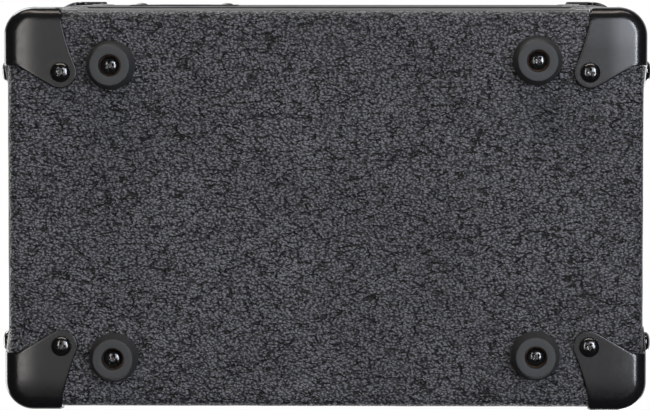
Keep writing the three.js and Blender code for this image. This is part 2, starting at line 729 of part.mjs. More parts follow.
// A quarter-inch jack: its body hangs from the flange by the threaded bush and nut.
function jackShape() {
  const body = middleSlab(JACK_BODY_WIDTH, [flangeBack, flangeBack + JACK_BODY_DEPTH], JACK_BODY_WIDTH);
  const bushEnd = frontPlane - JACK_NUT_THICKNESS - JACK_BUSH_SHOWS;
  const bush = rod(JACK_BUSH_RADIUS, [bushEnd, flangeBack + 1], 16);
  const nut = rod(JACK_NUT_RADIUS, [frontPlane - JACK_NUT_THICKNESS, frontPlane], 6);
  const bore = rod(JACK_BORE_RADIUS, [bushEnd - 1, flangeBack + JACK_BODY_DEPTH - JACK_END_WALL], 16);
  return cut(join(body, bush, nut), bore);
}

function buildJacks() {
  add(cabinet, 'input_jack', jackShape(), materials.plastic, [INPUT_JACK_X, 0, stripMiddle]);
  add(cabinet, 'phones_jack', jackShape(), materials.plastic, [PHONES_JACK_X, 0, stripMiddle]);
}

function buildChannelButton() {
  const inner = flangeBack + BUTTON_SEAT;
  const bodyEnd = inner + BUTTON_TRAVEL + BUTTON_SWITCH_WALL;
  const halfBody = BUTTON_SWITCH_WIDTH / 2;
  const socketWidth = BUTTON_WIDTH + 2 * CLEARANCE;
  const button = middleSlab(BUTTON_WIDTH, [frontPlane - BUTTON_STANDOUT, inner], BUTTON_WIDTH);
  const body = slab([-halfBody, halfBody], [flangeBack, bodyEnd], [circuitTop - stripMiddle, halfBody]);
  const socket = middleSlab(socketWidth, [flangeBack - 1, inner + BUTTON_TRAVEL + 2 * CLEARANCE], socketWidth);
  const place = [CHANNEL_BUTTON_X, 0, stripMiddle];
  add(cabinet, 'channel_button', button, materials.knob, place);
  add(cabinet, 'channel_switch_body', cut(body, socket), materials.plastic, place);
}

function buildLamp() {
  const back = flangeBack + LAMP_BASE;
  const tip = frontPlane - LAMP_STANDOUT;
  const lens = turned([
    [0, back],
    [LAMP_RADIUS, back],
    [LAMP_RADIUS, tip + LAMP_DOME],
    [LAMP_RADIUS * Math.SQRT1_2, tip + LAMP_DOME * (1 - Math.SQRT1_2)],
    [0, tip],
  ], 16);
  const legs = slab(
    [-LAMP_LEGS_WIDTH / 2, LAMP_LEGS_WIDTH / 2], [back - LAMP_LEGS_DEPTH, back], [circuitTop - stripMiddle, 0]);
  add(cabinet, 'power_lamp', join(lens, legs), materials.lamp, [LAMP_X, 0, stripMiddle]);
}

// The power switch: a bezelled body, and a rocker that turns on two trunnions.
function buildPowerSwitch() {
  const bezelFront = frontPlane - SWITCH_BEZEL;
  const pivotY = bezelFront + SWITCH_PIVOT_DEPTH;
  const lip = 2 * SWITCH_BEZEL_LIP;
  const body = join(
    middleSlab(switchBodyWidth + lip, [bezelFront, frontPlane], switchBodyHeight + lip),
    middleSlab(switchBodyWidth, [bezelFront, frontPlane + SWITCH_DEPTH], switchBodyHeight),
  );
  const cavityDepth = [bezelFront - 1, pivotY + SWITCH_CAVITY_BACK];
  const cavity = middleSlab(ROCKER_WIDTH + 2 * CLEARANCE, cavityDepth, switchCavityHeight);
  const reach = ROCKER_WIDTH / 2 + TRUNNION_LENGTH;
  const trunnionHole = rod(TRUNNION_RADIUS + CLEARANCE, [-reach - CLEARANCE, reach + CLEARANCE], 12);
  const place = [POWER_SWITCH_X, 0, stripMiddle];
  const housing = cut(body, cavity, trunnionHole.rotateZ(Math.PI / 2).translate(0, pivotY, 0));
  add(cabinet, 'power_switch_body', housing, materials.plastic, place);

  // The rocker's section: a shallow V in front and a narrow heel behind, about its pivot.
  const half = ROCKER_HEIGHT / 2;
  const section = new THREE.Shape();
  section.moveTo(-ROCKER_FRONT, half);
  section.lineTo(ROCKER_DISH - ROCKER_FRONT, 0);
  section.lineTo(-ROCKER_FRONT, -half);
  section.lineTo(-ROCKER_SHOULDER, -half);
  section.lineTo(ROCKER_HEEL, -half / 2);
  section.lineTo(ROCKER_HEEL, half / 2);
  section.lineTo(-ROCKER_SHOULDER, half);
  const paddle = new THREE.ExtrudeGeometry(section, { depth: ROCKER_WIDTH, bevelEnabled: false });
  paddle.translate(0, 0, -ROCKER_WIDTH / 2);
  paddle.applyMatrix4(new THREE.Matrix4().makeBasis(
    new THREE.Vector3(0, 1, 0), new THREE.Vector3(0, 0, 1), new THREE.Vector3(1, 0, 0)));
  const trunnions = rod(TRUNNION_RADIUS, [-reach, reach], 12).rotateZ(Math.PI / 2);
  const rocker = add(cabinet, 'power_rocker', join(paddle, trunnions), materials.knob,
    [POWER_SWITCH_X, pivotY, stripMiddle]);
  rocker.rotation.x = THREE.MathUtils.degToRad(-ROCKER_TILT);
}

// ---- power supply ----

function buildTransformer() {
  const legHeight = CORE_HEIGHT - 2 * CORE_LEG;
  const windowWidth = (CORE_WIDTH - 4 * CORE_LEG) / 2;
  const windowMiddle = CORE_LEG + windowWidth / 2;
  const core = cut(
    middleSlab(CORE_WIDTH, [-CORE_STACK / 2, CORE_STACK / 2], CORE_HEIGHT),
    ...[-1, 1].map((side) => middleSlab(windowWidth, [-CORE_STACK, CORE_STACK], legHeight)
      .translate(side * windowMiddle, 0, 0)),
  );
  const innerX = CORE_LEG + CLEARANCE;
  const innerY = CORE_STACK / 2 + CLEARANCE;
  const height = legHeight - 2 * CLEARANCE;
  const winding = cut(
    middleSlab(2 * (innerX + WINDING_BUILD), [-innerY - WINDING_BUILD, innerY + WINDING_BUILD], height),
    middleSlab(2 * innerX, [-innerY, innerY], height + 2),
  );
  const place = [TRANSFORMER_X, transformerMiddle, shelfTop + CORE_HEIGHT / 2];
  add(cabinet, 'transformer_core', core, materials.core, place);
  add(cabinet, 'transformer_winding', winding, materials.winding, place);
}

function buildHeatSink() {
  const [front, rear] = [-HEAT_SINK_DEPTH / 2, HEAT_SINK_DEPTH / 2];
  const height = [0, HEAT_SINK_HEIGHT];
  const spine = slab([-HEAT_SINK_WIDTH / 2, HEAT_SINK_WIDTH / 2], [front, front + HEAT_SINK_SPINE], height);
  const pitch = (HEAT_SINK_WIDTH - HEAT_SINK_FIN_THICKNESS) / (HEAT_SINK_FINS - 1);
  const fins = Array.from({ length: HEAT_SINK_FINS }, (_, i) => {
    const x = -HEAT_SINK_WIDTH / 2 + i * pitch;
    return slab([x, x + HEAT_SINK_FIN_THICKNESS], [front, rear], height);
  });
  const place = [HEAT_SINK_X, chassisBack - HEAT_SINK_FROM_BACK, shelfTop];
  add(cabinet, 'heat_sink', join(spine, ...fins), materials.aluminium, place);
}

// ---- rear boards and mains inlet ----

function buildRear() {
  const inletZ = insideTop - INLET_BELOW_TOP;
  const thickness = [rearPlane - REAR_BOARD_THICKNESS, rearPlane];
  const width = [-fittedWidth / 2, fittedWidth / 2];
  const upper = slab(width, thickness, [stripTop - REAR_UPPER_HEIGHT, stripTop]);
  const lower = slab(width, thickness, [-stripTop, REAR_LOWER_HEIGHT - stripTop]);
  const inletHole = middleSlab(
    INLET_WIDTH + 2 * CLEARANCE, [thickness[0] - 1, thickness[1] + 1], INLET_HEIGHT + 2 * CLEARANCE);
  add(cabinet, 'rear_board_upper', cut(upper, inletHole.translate(INLET_X, 0, inletZ)), materials.blackBoard);
  add(cabinet, 'rear_board_lower', lower, materials.blackBoard);

  const face = rearPlane + INLET_FLANGE_THICKNESS;
  const shell = join(
    middleSlab(INLET_FLANGE_WIDTH, [rearPlane, face], INLET_FLANGE_HEIGHT),
    middleSlab(INLET_WIDTH, [rearPlane - INLET_DEPTH, face], INLET_HEIGHT),
  );
  const recess = middleSlab(
    INLET_WIDTH - 2 * INLET_WALL, [face - INLET_RECESS_DEPTH, face + 1], INLET_HEIGHT - 2 * INLET_WALL);
  const pinReach = [face - INLET_RECESS_DEPTH - INLET_PIN_ROOT, face - INLET_PIN_SETBACK];
  const pins = [-1, 0, 1].map((column) => {
    const pin = middleSlab(INLET_PIN_WIDTH, pinReach, INLET_PIN_HEIGHT);
    return pin.translate(column * INLET_PIN_SPACING, 0, column === 0 ? INLET_PIN_OFFSET : -INLET_PIN_OFFSET);
  });
  add(cabinet, 'mains_inlet', join(cut(shell, recess), ...pins), materials.plastic, [INLET_X, 0, inletZ]);
}

// ---- speaker ----

function windowTools() {
  const reach = [ledgeRadius - 2, SPEAKER_RADIUS];
  const depth = [BASKET_WINDOW_FRONT, SPIDER_DEPTH - BASKET_WINDOW_BACK];
  return Array.from({ length: BASKET_WINDOWS }, (_, i) => {
    const tool = slab(reach, depth, [-BASKET_WINDOW_WIDTH / 2, BASKET_WINDOW_WIDTH / 2]);
    return tool.rotateY((i + 0.5) * 2 * Math.PI / BASKET_WINDOWS);
  });
}

// A pressed steel frame: a flat rim, a windowed cone, a ledge for the spider, and a neck with a flat end.
function buildBasket(speaker) {
  const steel = SHEET_STEEL;
  const rimInner = coneRadius + BASKET_RIM_INSET;
  const hole = COIL_RADIUS + COIL_GAP + 1;
  const skin = turned([
    [rimInner, 0],
    [SPEAKER_RADIUS, 0],
    [SPEAKER_RADIUS, steel],
    [rimInner + BASKET_SHOULDER, steel],
    [ledgeRadius + 1, SPIDER_DEPTH],
    [neckRadius, SPIDER_DEPTH],
    [neckRadius, BASKET_DEPTH],
    [hole, BASKET_DEPTH],
    [hole, BASKET_DEPTH - steel],
    [neckRadius - steel, BASKET_DEPTH - steel],
    [neckRadius - steel, SPIDER_DEPTH - steel],
    [ledgeRadius, SPIDER_DEPTH - steel],
    [rimInner, steel],
    [rimInner, 0],
  ], 24);
  add(speaker, 'speaker_basket', cut(skin, ...windowTools()), materials.steel);
}

// Ferrite ring with its front plate, and the back plate with the pole that the coil moves around.
function buildMotor(speaker) {
  const gapOuter = COIL_RADIUS + COIL_GAP;
  const gapInner = COIL_RADIUS - COIL_WALL - COIL_GAP;
  const plateEnd = BASKET_DEPTH + TOP_PLATE_THICKNESS;
  const magnetEnd = plateEnd + MAGNET_THICKNESS;
  const magnet = turned([
    [gapOuter, BASKET_DEPTH],
    [magnetPlateRadius, BASKET_DEPTH],
    [magnetPlateRadius, plateEnd],
    [MAGNET_RADIUS, plateEnd],
    [MAGNET_RADIUS, magnetEnd],
    [MAGNET_HOLE_RADIUS, magnetEnd],
    [MAGNET_HOLE_RADIUS, plateEnd],
    [gapOuter, plateEnd],
    [gapOuter, BASKET_DEPTH],
  ], 24);
  add(speaker, 'speaker_magnet', magnet, materials.magnet);
  const yoke = turned([
    [0, BASKET_DEPTH],
    [gapInner, BASKET_DEPTH],
    [gapInner, magnetEnd],
    [magnetPlateRadius, magnetEnd],
    [magnetPlateRadius, magnetEnd + BACK_PLATE_THICKNESS],
    [0, magnetEnd + BACK_PLATE_THICKNESS],
  ], 24);
  add(speaker, 'speaker_back_plate', yoke, materials.steel);
}

// The paper cone with its domed dust cap and the coil former that reaches into the magnet's gap.
function buildCone(speaker) {
  const formerInner = COIL_RADIUS - COIL_WALL;
  const formerEnd = BASKET_DEPTH + TOP_PLATE_THICKNESS - 1;
  const capBack = DUST_CAP_DEPTH + DUST_CAP_THICKNESS;
  const capEdge = COIL_RADIUS + DUST_CAP_OVERLAP;
  const cone = turned([
    [0, DUST_CAP_DEPTH],
    [capEdge * 0.43, DUST_CAP_DEPTH + 1],
    [capEdge * 0.76, DUST_CAP_DEPTH + 4],
    [capEdge, DUST_CAP_DEPTH + 8],
    [coneRadius - CONE_EDGE_FLAT, 0],
    [coneRadius, 0],
    [coneRadius, CONE_THICKNESS],
    [coneRadius - CONE_EDGE_FLAT + CONE_THICKNESS / 2, CONE_THICKNESS],
    [COIL_RADIUS + CONE_NECK_GLUE, CONE_DEPTH],
    [COIL_RADIUS, CONE_DEPTH],
    [COIL_RADIUS, formerEnd],
    [formerInner, formerEnd],
    [formerInner, capBack + 4],
    [formerInner * 0.6, capBack + 1],
    [0, capBack],
  ], 24);
  add(speaker, 'speaker_cone', cone, materials.paper);
}

// The rolled edge between the cone and the rim, and the flat spider that centres the coil.
function buildSuspension(speaker) {
  const t = SURROUND_THICKNESS;
  const inner = coneRadius - SURROUND_GLUE;
  const outer = speakerHoleRadius - SURROUND_EDGE_GAP;
  const rollMiddle = coneRadius + ROLL_FROM_CONE;
  const arc = (radius) => Array.from({ length: 5 }, (_, i) => {
    const angle = Math.PI * (i / 4);
    return [rollMiddle + radius * Math.cos(angle), -t - radius * Math.sin(angle)];
  });
  const front = arc(ROLL_RADIUS);
  const back = arc(ROLL_RADIUS - t).reverse().map(([radius, y]) => [radius, y + t]);
  const profile = [[outer, 0], [outer, -t], ...front, [inner, -t], [inner, 0], ...back, [outer, 0]];
  add(speaker, 'cone_surround', turned(profile, 24), materials.cambric);

  const spiderFront = SPIDER_DEPTH - SHEET_STEEL - t;
  const spider = ring(COIL_RADIUS + CLEARANCE, ledgeRadius - 1, [spiderFront, spiderFront + t], 24);
  add(speaker, 'cone_spider', spider, materials.cambric);
}

function buildSpeaker() {
  const speaker = new THREE.Group();
  speaker.position.set(0, baffleBack, baffleMiddle);
  cabinet.add(speaker);
  buildBasket(speaker);
  buildMotor(speaker);
  buildCone(speaker);
  buildSuspension(speaker);
}

// ---- handle ----

// One end of the strap, from the grip down to the top and in under its end cap, drawn as an X-Z outline.
function strapEndShape() {
  const start = GRIP_LENGTH / 2 + CLEARANCE;
  const mouth = END_CAP_X - END_CAP_LENGTH / 2;
  const top = FINGER_GAP + GRIP_THICKNESS / 2 + STRAP_THICKNESS / 2;
  const low = STRAP_LIFT + STRAP_THICKNESS;
  const bend = (start + mouth) / 2;
  const shape = new THREE.Shape();
  shape.moveTo(start, top);
  shape.bezierCurveTo(bend, top, bend, low, mouth, low);
  shape.lineTo(mouth + STRAP_TUCKED, low);
  shape.lineTo(mouth + STRAP_TUCKED, low - STRAP_THICKNESS);
  shape.lineTo(mouth - 1, low - STRAP_THICKNESS);
  const innerBend = bend - STRAP_INNER_BEND;
  const [innerLow, innerTop] = [low - STRAP_THICKNESS, top - STRAP_THICKNESS];
  shape.bezierCurveTo(innerBend, innerLow, innerBend, innerTop, start, innerTop);
  return plate(shape, STRAP_WIDTH, 8);
}

function endCapShape() {
  const height = END_CAP_HEIGHT;
  const body = new RoundedBoxGeometry(END_CAP_LENGTH, END_CAP_WIDTH, 2 * height, 2, END_CAP_EDGE);
  const upper = slab([-END_CAP_LENGTH, END_CAP_LENGTH], [-END_CAP_WIDTH, END_CAP_WIDTH], [0, 2 * height]);
  const slotEnd = STRAP_TUCKED - END_CAP_LENGTH / 2 + END_CAP_SLOT_GAP;
  const slot = slab(
    [-END_CAP_LENGTH, slotEnd],
    [-STRAP_WIDTH / 2 - CLEARANCE, STRAP_WIDTH / 2 + CLEARANCE],
    [STRAP_LIFT - CLEARANCE, STRAP_LIFT + STRAP_THICKNESS + CLEARANCE],
  );
  return cut(common(body, upper), slot);
}

function buildHandle() {
  const handle = new THREE.Group();
  handle.position.z = cabinetTop;
  cabinet.add(handle);
  const grip = new RoundedBoxGeometry(GRIP_LENGTH, GRIP_WIDTH, GRIP_THICKNESS, 2, GRIP_EDGE);
  add(handle, 'handle_grip', toGeometry(toSolid(grip)), materials.rubber,
    [0, 0, FINGER_GAP + GRIP_THICKNESS / 2]);
  const strapEnd = strapEndShape();
  if (!strapEnd.index) strapEnd.setIndex([...Array(strapEnd.attributes.position.count).keys()]);
  const endCap = endCapShape();
  for (const [side, sign] of [['left', 1], ['right', -1]]) {
    add(handle, `handle_strap_${side}`, mirrored(strapEnd, sign, 1, 1), materials.rubber);
    add(handle, `handle_end_cap_${side}`, mirrored(endCap, sign, 1, 1), materials.plastic,
      [sign * END_CAP_X, 0, 0]);
  }
}

buildCovering();
buildPanels();
buildCornerCaps();
buildFeet();
buildBaffle();
buildControlStrip();
buildChassis();
buildCircuit();
buildKnobs();
buildJacks();
buildChannelButton();
buildLamp();
buildPowerSwitch();
buildTransformer();
buildHeatSink();
buildRear();
buildSpeaker();
buildHandle();

export default amplifier;
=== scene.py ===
"""A small combo guitar amplifier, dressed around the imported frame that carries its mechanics.

The box is covered in embossed vinyl and stands on four rubber feet, with eight moulded corner caps. The file
is laid out as an add-on: each group of pieces has its own operator, and main() runs them in order. Sizes are
in metres.
"""

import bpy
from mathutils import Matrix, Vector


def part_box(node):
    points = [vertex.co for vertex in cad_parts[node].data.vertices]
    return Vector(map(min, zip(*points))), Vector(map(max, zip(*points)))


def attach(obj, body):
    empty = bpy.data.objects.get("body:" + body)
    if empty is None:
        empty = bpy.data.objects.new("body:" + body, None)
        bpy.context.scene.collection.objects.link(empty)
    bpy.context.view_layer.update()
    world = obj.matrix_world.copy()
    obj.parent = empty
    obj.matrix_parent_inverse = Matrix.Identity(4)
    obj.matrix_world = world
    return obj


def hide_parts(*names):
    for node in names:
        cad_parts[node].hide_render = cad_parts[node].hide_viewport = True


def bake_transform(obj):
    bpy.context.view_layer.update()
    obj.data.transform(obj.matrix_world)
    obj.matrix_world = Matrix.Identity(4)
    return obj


bl_info = {
    "name": "Practice Amplifier",
    "version": (1, 0, 0),
    "blender": (4, 5, 0),
    "location": "View3D > Sidebar > Amplifier",
    "description": "Dresses a small guitar amplifier with its covering, caps, feet, controls, speaker and handle",
    "category": "Add Mesh",
}

import math

import bmesh
import bpy
import numpy as np
from mathutils import Matrix, Vector, geometry, noise

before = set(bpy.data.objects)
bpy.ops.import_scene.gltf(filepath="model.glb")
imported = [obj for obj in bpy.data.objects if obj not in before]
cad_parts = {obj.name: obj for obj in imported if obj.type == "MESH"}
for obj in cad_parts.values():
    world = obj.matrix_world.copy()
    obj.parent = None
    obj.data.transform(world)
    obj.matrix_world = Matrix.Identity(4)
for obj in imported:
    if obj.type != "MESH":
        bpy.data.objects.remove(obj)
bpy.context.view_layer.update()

MM = 0.001


def corner(node_name, end):
    """The lowest (end 0) or highest (end 1) corner of a frame node, as an array."""
    return np.array(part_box(node_name)[end])


# The cabinet's plain box over its covering, and the two radii that round it: CORNER_ROUND in plan at the upright
# edges, EDGE_ROUND over the edges of the top and the bottom.
CABINET_LOW = corner("vinyl_covering", 0)
CABINET_HIGH = corner("vinyl_covering", 1)
CABINET_HALF = (CABINET_HIGH - CABINET_LOW) / 2
CABINET_MIDDLE = (CABINET_HIGH + CABINET_LOW) / 2
CORNER_ROUND = 10.6 * MM
EDGE_ROUND = 4.2 * MM

# The face of the control strip and of the rear boards, and half the inside of the box at its openings.
STRIP_FACE = corner("control_strip", 0)[1]
REAR_FACE = corner("rear_board_upper", 1)[1]
INSIDE_HALF_WIDTH = corner("rear_board_upper", 1)[0] + 0.3 * MM
INSIDE_HALF_HEIGHT = corner("control_strip", 1)[2] + 0.3 * MM - CABINET_MIDDLE[2]
SPEAKER_AXIS_Z = (corner("speaker_basket", 0)[2] + corner("speaker_basket", 1)[2]) / 2
STRIP_MIDDLE_Z = (corner("control_strip", 0)[2] + corner("control_strip", 1)[2]) / 2
KNOBS = ("gain", "volume", "bass", "treble")


# ---- sizes and colours that a user would change ----


def linear(hex_colour):
    """An sRGB colour written as #rrggbb, as linear red, green, blue and alpha."""
    parts = [int(hex_colour[i:i + 2], 16) / 255 for i in (1, 3, 5)]
    return [c / 12.92 if c <= 0.04045 else ((c + 0.055) / 1.055) ** 2.4 for c in parts] + [1.0]


def length(label, description, millimetres):
    return bpy.props.FloatProperty(
        name=label, description=description, default=millimetres * MM, min=0.0, unit="LENGTH", precision=5)


def colour(label, description, hex_colour):
    return bpy.props.FloatVectorProperty(
        name=label, description=description, default=linear(hex_colour), size=4, min=0.0, max=1.0, subtype="COLOR")


class AmplifierSizes(bpy.types.PropertyGroup):
    grain: length("Grain", "Width of one pebble of the vinyl's leather grain", 0.95)
    grain_depth: length("Grain Depth", "Depth of the creases between the pebbles", 0.7)
    crease: length("Crease", "Usual length of the longer creases across the grain", 9.0)
    cap_edge: length("Cap Edge", "Radius along the trimmed outline of a corner cap", 0.45)
    cap_crown: length("Cap Crown", "How far a cap's plate falls away towards its outer side", 1.1)
    screw_head: length("Cap Screw Head", "Radius of a corner cap's screw head", 4.2)
    piping: length("Piping", "Radius of the bead around the grille cloth", 1.5)
    stitch_pitch: length("Stitch Pitch", "Distance between stitches on the handle", 4.0)
    thread: length("Thread", "Distance between threads of the grille cloth", 1.1)
    flutes: bpy.props.IntProperty(
        name="Flutes", description="Number of flutes around a control knob", default=18, min=3)
    dial_divisions: bpy.props.IntProperty(
        name="Dial Divisions", description="Number of steps on each knob's dial", default=10, min=2)
    seed: bpy.props.IntProperty(
        name="Seed", description="Seed of everything that is placed at random", default=7)


class AmplifierColours(bpy.types.PropertyGroup):
    # Vinyl: painted light, the tops of the pebbles drawn far lighter than black vinyl is, as where lamps catch them.
    vinyl: colour("Vinyl", "Tops of the vinyl's pebbles", "#737479")
    # Vinyl crease colour: painted shade, near black where the creases lie in shadow.
    vinyl_crease: colour("Vinyl Crease Shade", "Bottoms of the vinyl's creases", "#020202")
    cap: colour("Cap", "Moulded corner caps", "#121213")
    rubber: colour("Rubber", "Feet and handle", "#3a3b3c")
    cloth: colour("Cloth", "Dark threads of the grille cloth", "#18181a")
    cloth_fleck: colour("Cloth Fleck", "Light threads of the grille cloth", "#5a5a5c")
    knob: colour("Knob", "Control knobs, button and rocker", "#131314")
    marks: colour("Marks", "Printed dial marks and pointer lines", "#e4e3dd")
    lamp: colour("Lamp", "Lens of the power lamp", "#c2201a")


# ---- node and mesh tools ----


def node(tree, kind, inputs=(), **settings):
    """Adds one node. inputs maps a socket's name or number to a value, or to the socket that feeds it."""
    made = tree.nodes.new(kind)
    for setting, value in settings.items():
        setattr(made, setting, value)
    for key, value in dict(inputs).items():
        if isinstance(value, bpy.types.NodeSocket):
            tree.links.new(value, made.inputs[key])
        else:
            made.inputs[key].default_value = value
    return made


def from_bmesh(name, form, finish, sharp=40, recalculate=True):
    """Turns a bmesh into an object, its doubles merged and its faces pointing out."""
    bmesh.ops.remove_doubles(form, verts=form.verts, dist=1e-6)
    if recalculate:
        bmesh.ops.recalc_face_normals(form, faces=form.faces)
    mesh = bpy.data.meshes.new(name)
    form.to_mesh(mesh)
    form.free()
    mesh.shade_smooth()
    mesh.set_sharp_from_angle(angle=math.radians(sharp))
    mesh.materials.append(finish)
    obj = bpy.data.objects.new(name, mesh)
    bpy.context.scene.collection.objects.link(obj)
    return obj


def settle(obj):
    """Makes an object's modifiers part of its mesh, and takes them off."""
    bpy.context.view_layer.update()
    result = obj.evaluated_get(bpy.context.evaluated_depsgraph_get())
    mesh = bpy.data.meshes.new_from_object(result)
    obj.modifiers.clear()
    obj.data = mesh
    return obj


def carve(obj, tool, operation="DIFFERENCE"):
    """Cuts or joins one object with another, which is used up."""
    cutter = obj.modifiers.new("carve", "BOOLEAN")
    cutter.operation = operation
    cutter.solver = "EXACT"
    cutter.object = tool
    settle(obj)
    bpy.data.objects.remove(tool)
    return obj


def seat(obj, body, slot, *stands_for):
    """Hands a finished piece to the frame: its body and the nodes that it stands for. Its slot is not used."""
    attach(obj, body)
    if stands_for:
        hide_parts(*stands_for)
    return obj


def turned(form, profile, centre=(0, 0, 0), along="Y", steps=64, shape=None):
    """Adds a shape turned about an axis, from (radius, distance along the axis) points.

    shape(angle, radius, distance) may give each point its own radius."""
    rings = []
    for radius, distance in profile:
        if radius == 0:
            spots = [(0.0, 0.0)]
        else:
            angles = [2 * math.pi * i / steps for i in range(steps)]
            radii = [shape(a, radius, distance) if shape else radius for a in angles]
            spots = [(r * math.cos(a), r * math.sin(a)) for r, a in zip(radii, angles)]
        order = {"Y": lambda p, q: (p, distance, q), "Z": lambda p, q: (p, q, distance)}[along]
        rings.append([form.verts.new(Vector(centre) + Vector(order(p, q))) for p, q in spots])
    for near, far in zip(rings, rings[1:]):
        for i in range(steps):
            j = (i + 1) % steps
            loop = [near[i % len(near)], near[j % len(near)], far[j % len(far)], far[i % len(far)]]
            unique = list(dict.fromkeys(loop))
            if len(unique) > 2:
                form.faces.new(unique)
    return form


def rounded_line(points, radius, steps=4):
    """A line of points with an arc of about the given radius at each inner corner."""
    line = [Vector(points[0])]
    for before, here, after in zip(points, points[1:], points[2:]):
        here = Vector(here)
        to_before, to_after = Vector(before) - here, Vector(after) - here
        reach = min(radius, to_before.length * 0.45, to_after.length * 0.45)
        start, end = here + to_before.normalized() * reach, here + to_after.normalized() * reach
        for i in range(steps + 1):
            t = i / steps
            line.append(start * (1 - t) ** 2 + here * 2 * t * (1 - t) + end * t ** 2)
    return line + [Vector(points[-1])]


def block(form, low, high, edge=0.0, segments=3):
    """Adds a box between two corners, with rounded edges."""
    low, high = Vector(low), Vector(high)
    place = Matrix.LocRotScale((low + high) / 2, None, high - low)
    made = bmesh.ops.create_cube(form, size=1.0, matrix=place)["verts"]
    if edge:
        edges = list({e for v in made for e in v.link_edges})
        bmesh.ops.bevel(form, geom=edges, offset=edge, segments=segments, profile=0.5, affect="EDGES")
    return form


# ---- geometry node trees ----


def nodes_tree(name, sockets):
    """A geometry node tree with one geometry input and output and these named inputs of its own."""
    tree = bpy.data.node_groups.new(name, "GeometryNodeTree")
    tree.interface.new_socket("Geometry", in_out="INPUT", socket_type="NodeSocketGeometry")
    tree.interface.new_socket("Geometry", in_out="OUTPUT", socket_type="NodeSocketGeometry")
    for label, kind in sockets:
        tree.interface.new_socket(label, in_out="INPUT", socket_type="NodeSocket" + kind)
    return tree, node(tree, "NodeGroupInput").outputs


def end_tree(tree, result, finish):
    """Ends a tree: instances become real mesh, and the mesh gets its material."""
    real = node(tree, "GeometryNodeRealizeInstances", {"Geometry": result}).outputs[0]
    coated = node(tree, "GeometryNodeSetMaterial", {"Geometry": real, "Material": finish}).outputs[0]
    node(tree, "NodeGroupOutput", {"Geometry": coated})
    return tree


def copies_tree():
    """Copies of one object at points. Each faces along the point's facing and is spun about it by its spin, or by
    up to Loose Spin more at random."""
    tree, given = nodes_tree("copies_at_points", [
        ("Copy", "Object"), ("Size", "Float"), ("Loose Spin", "Float"), ("Seed", "Int"), ("Finish", "Material")])
    facing = node(tree, "GeometryNodeInputNamedAttribute", {"Name": "facing"}, data_type="FLOAT_VECTOR").outputs[0]
    spin = node(tree, "GeometryNodeInputNamedAttribute", {"Name": "spin"}, data_type="FLOAT").outputs[0]
    loose = node(tree, "FunctionNodeRandomValue", {3: given["Loose Spin"], "Seed": given["Seed"]},
                 data_type="FLOAT").outputs[1]
    turn = node(tree, "ShaderNodeMath", {0: spin, 1: loose}, operation="ADD").outputs[0]
    about = node(tree, "ShaderNodeCombineXYZ", {"Z": turn}).outputs[0]
    spun = node(tree, "FunctionNodeEulerToRotation", {"Euler": about}).outputs[0]
    faced = node(tree, "FunctionNodeAlignRotationToVector", {"Vector": facing}, axis="Z").outputs[0]
    rotation = node(tree, "FunctionNodeRotateRotation", {"Rotation": faced, "Rotate By": spun},
                    rotation_space="LOCAL").outputs[0]
    copy = node(tree, "GeometryNodeObjectInfo", {"Object": given["Copy"]}, transform_space="ORIGINAL")
    placed = node(tree, "GeometryNodeInstanceOnPoints", {
        "Points": given["Geometry"], "Instance": copy.outputs["Geometry"], "Rotation": rotation,
        "Scale": given["Size"]}).outputs[0]
    return end_tree(tree, placed, given["Finish"])


def bead_tree():
    """A round bead along the edges of a line."""
    tree, given = nodes_tree("bead_along_line", [
        ("Radius", "Float"), ("Sides", "Int"), ("Finish", "Material")])
    line = node(tree, "GeometryNodeMeshToCurve", {"Mesh": given["Geometry"]}).outputs[0]
    section = node(tree, "GeometryNodeCurvePrimitiveCircle", {
        "Radius": given["Radius"], "Resolution": given["Sides"]}).outputs[0]
    bead = node(tree, "GeometryNodeCurveToMesh", {
        "Curve": line, "Profile Curve": section, "Fill Caps": True}).outputs[0]
    smooth = node(tree, "GeometryNodeSetShadeSmooth", {"Geometry": bead}).outputs[0]
    return end_tree(tree, smooth, given["Finish"])


def ripple_tree():
    """Turns a flat disc in X and Z into ring-shaped waves about an axis, by moving each point along Y."""
    tree, given = nodes_tree("ripples", [
        ("Centre", "Vector"), ("Pitch", "Float"), ("Height", "Float"), ("Finish", "Material")])
    place = node(tree, "GeometryNodeInputPosition").outputs[0]
    offset = node(tree, "ShaderNodeVectorMath", {0: place, 1: given["Centre"]}, operation="SUBTRACT").outputs[0]
    flat = node(tree, "ShaderNodeVectorMath", {0: offset, 1: (1.0, 0.0, 1.0)}, operation="MULTIPLY").outputs[0]
    radius = node(tree, "ShaderNodeVectorMath", {0: flat}, operation="LENGTH").outputs["Value"]
    turns = node(tree, "ShaderNodeMath", {0: radius, 1: given["Pitch"]}, operation="DIVIDE").outputs[0]
    angle = node(tree, "ShaderNodeMath", {0: turns, 1: 2 * math.pi}, operation="MULTIPLY").outputs[0]
    wave = node(tree, "ShaderNodeMath", {0: angle}, operation="SINE").outputs[0]
    height = node(tree, "ShaderNodeMath", {0: wave, 1: given["Height"]}, operation="MULTIPLY").outputs[0]
    shift = node(tree, "ShaderNodeCombineXYZ", {"Y": height}).outputs[0]
    moved = node(tree, "GeometryNodeSetPosition", {"Geometry": given["Geometry"], "Offset": shift}).outputs[0]
    return end_tree(tree, moved, given["Finish"])


def run_tree(obj, tree, values):
    """Runs a tree on an object with its named inputs set, and keeps the result as a plain mesh."""
    sockets = {item.name: item.identifier for item in tree.interface.items_tree if item.in_out == "INPUT"}
    modifier = obj.modifiers.new(tree.name, "NODES")
    modifier.node_group = tree
    for label, value in values.items():
        modifier[sockets[label]] = value
    bpy.context.scene.collection.objects.link(obj)
    return settle(obj)


def group_of(make_tree):
    """One shared node tree of each kind, built the first time that it is asked for."""
    kept = bpy.data.node_groups.get(TREE_NAMES[make_tree])
    return kept or make_tree()


TREE_NAMES = {copies_tree: "copies_at_points", bead_tree: "bead_along_line", ripple_tree: "ripples"}


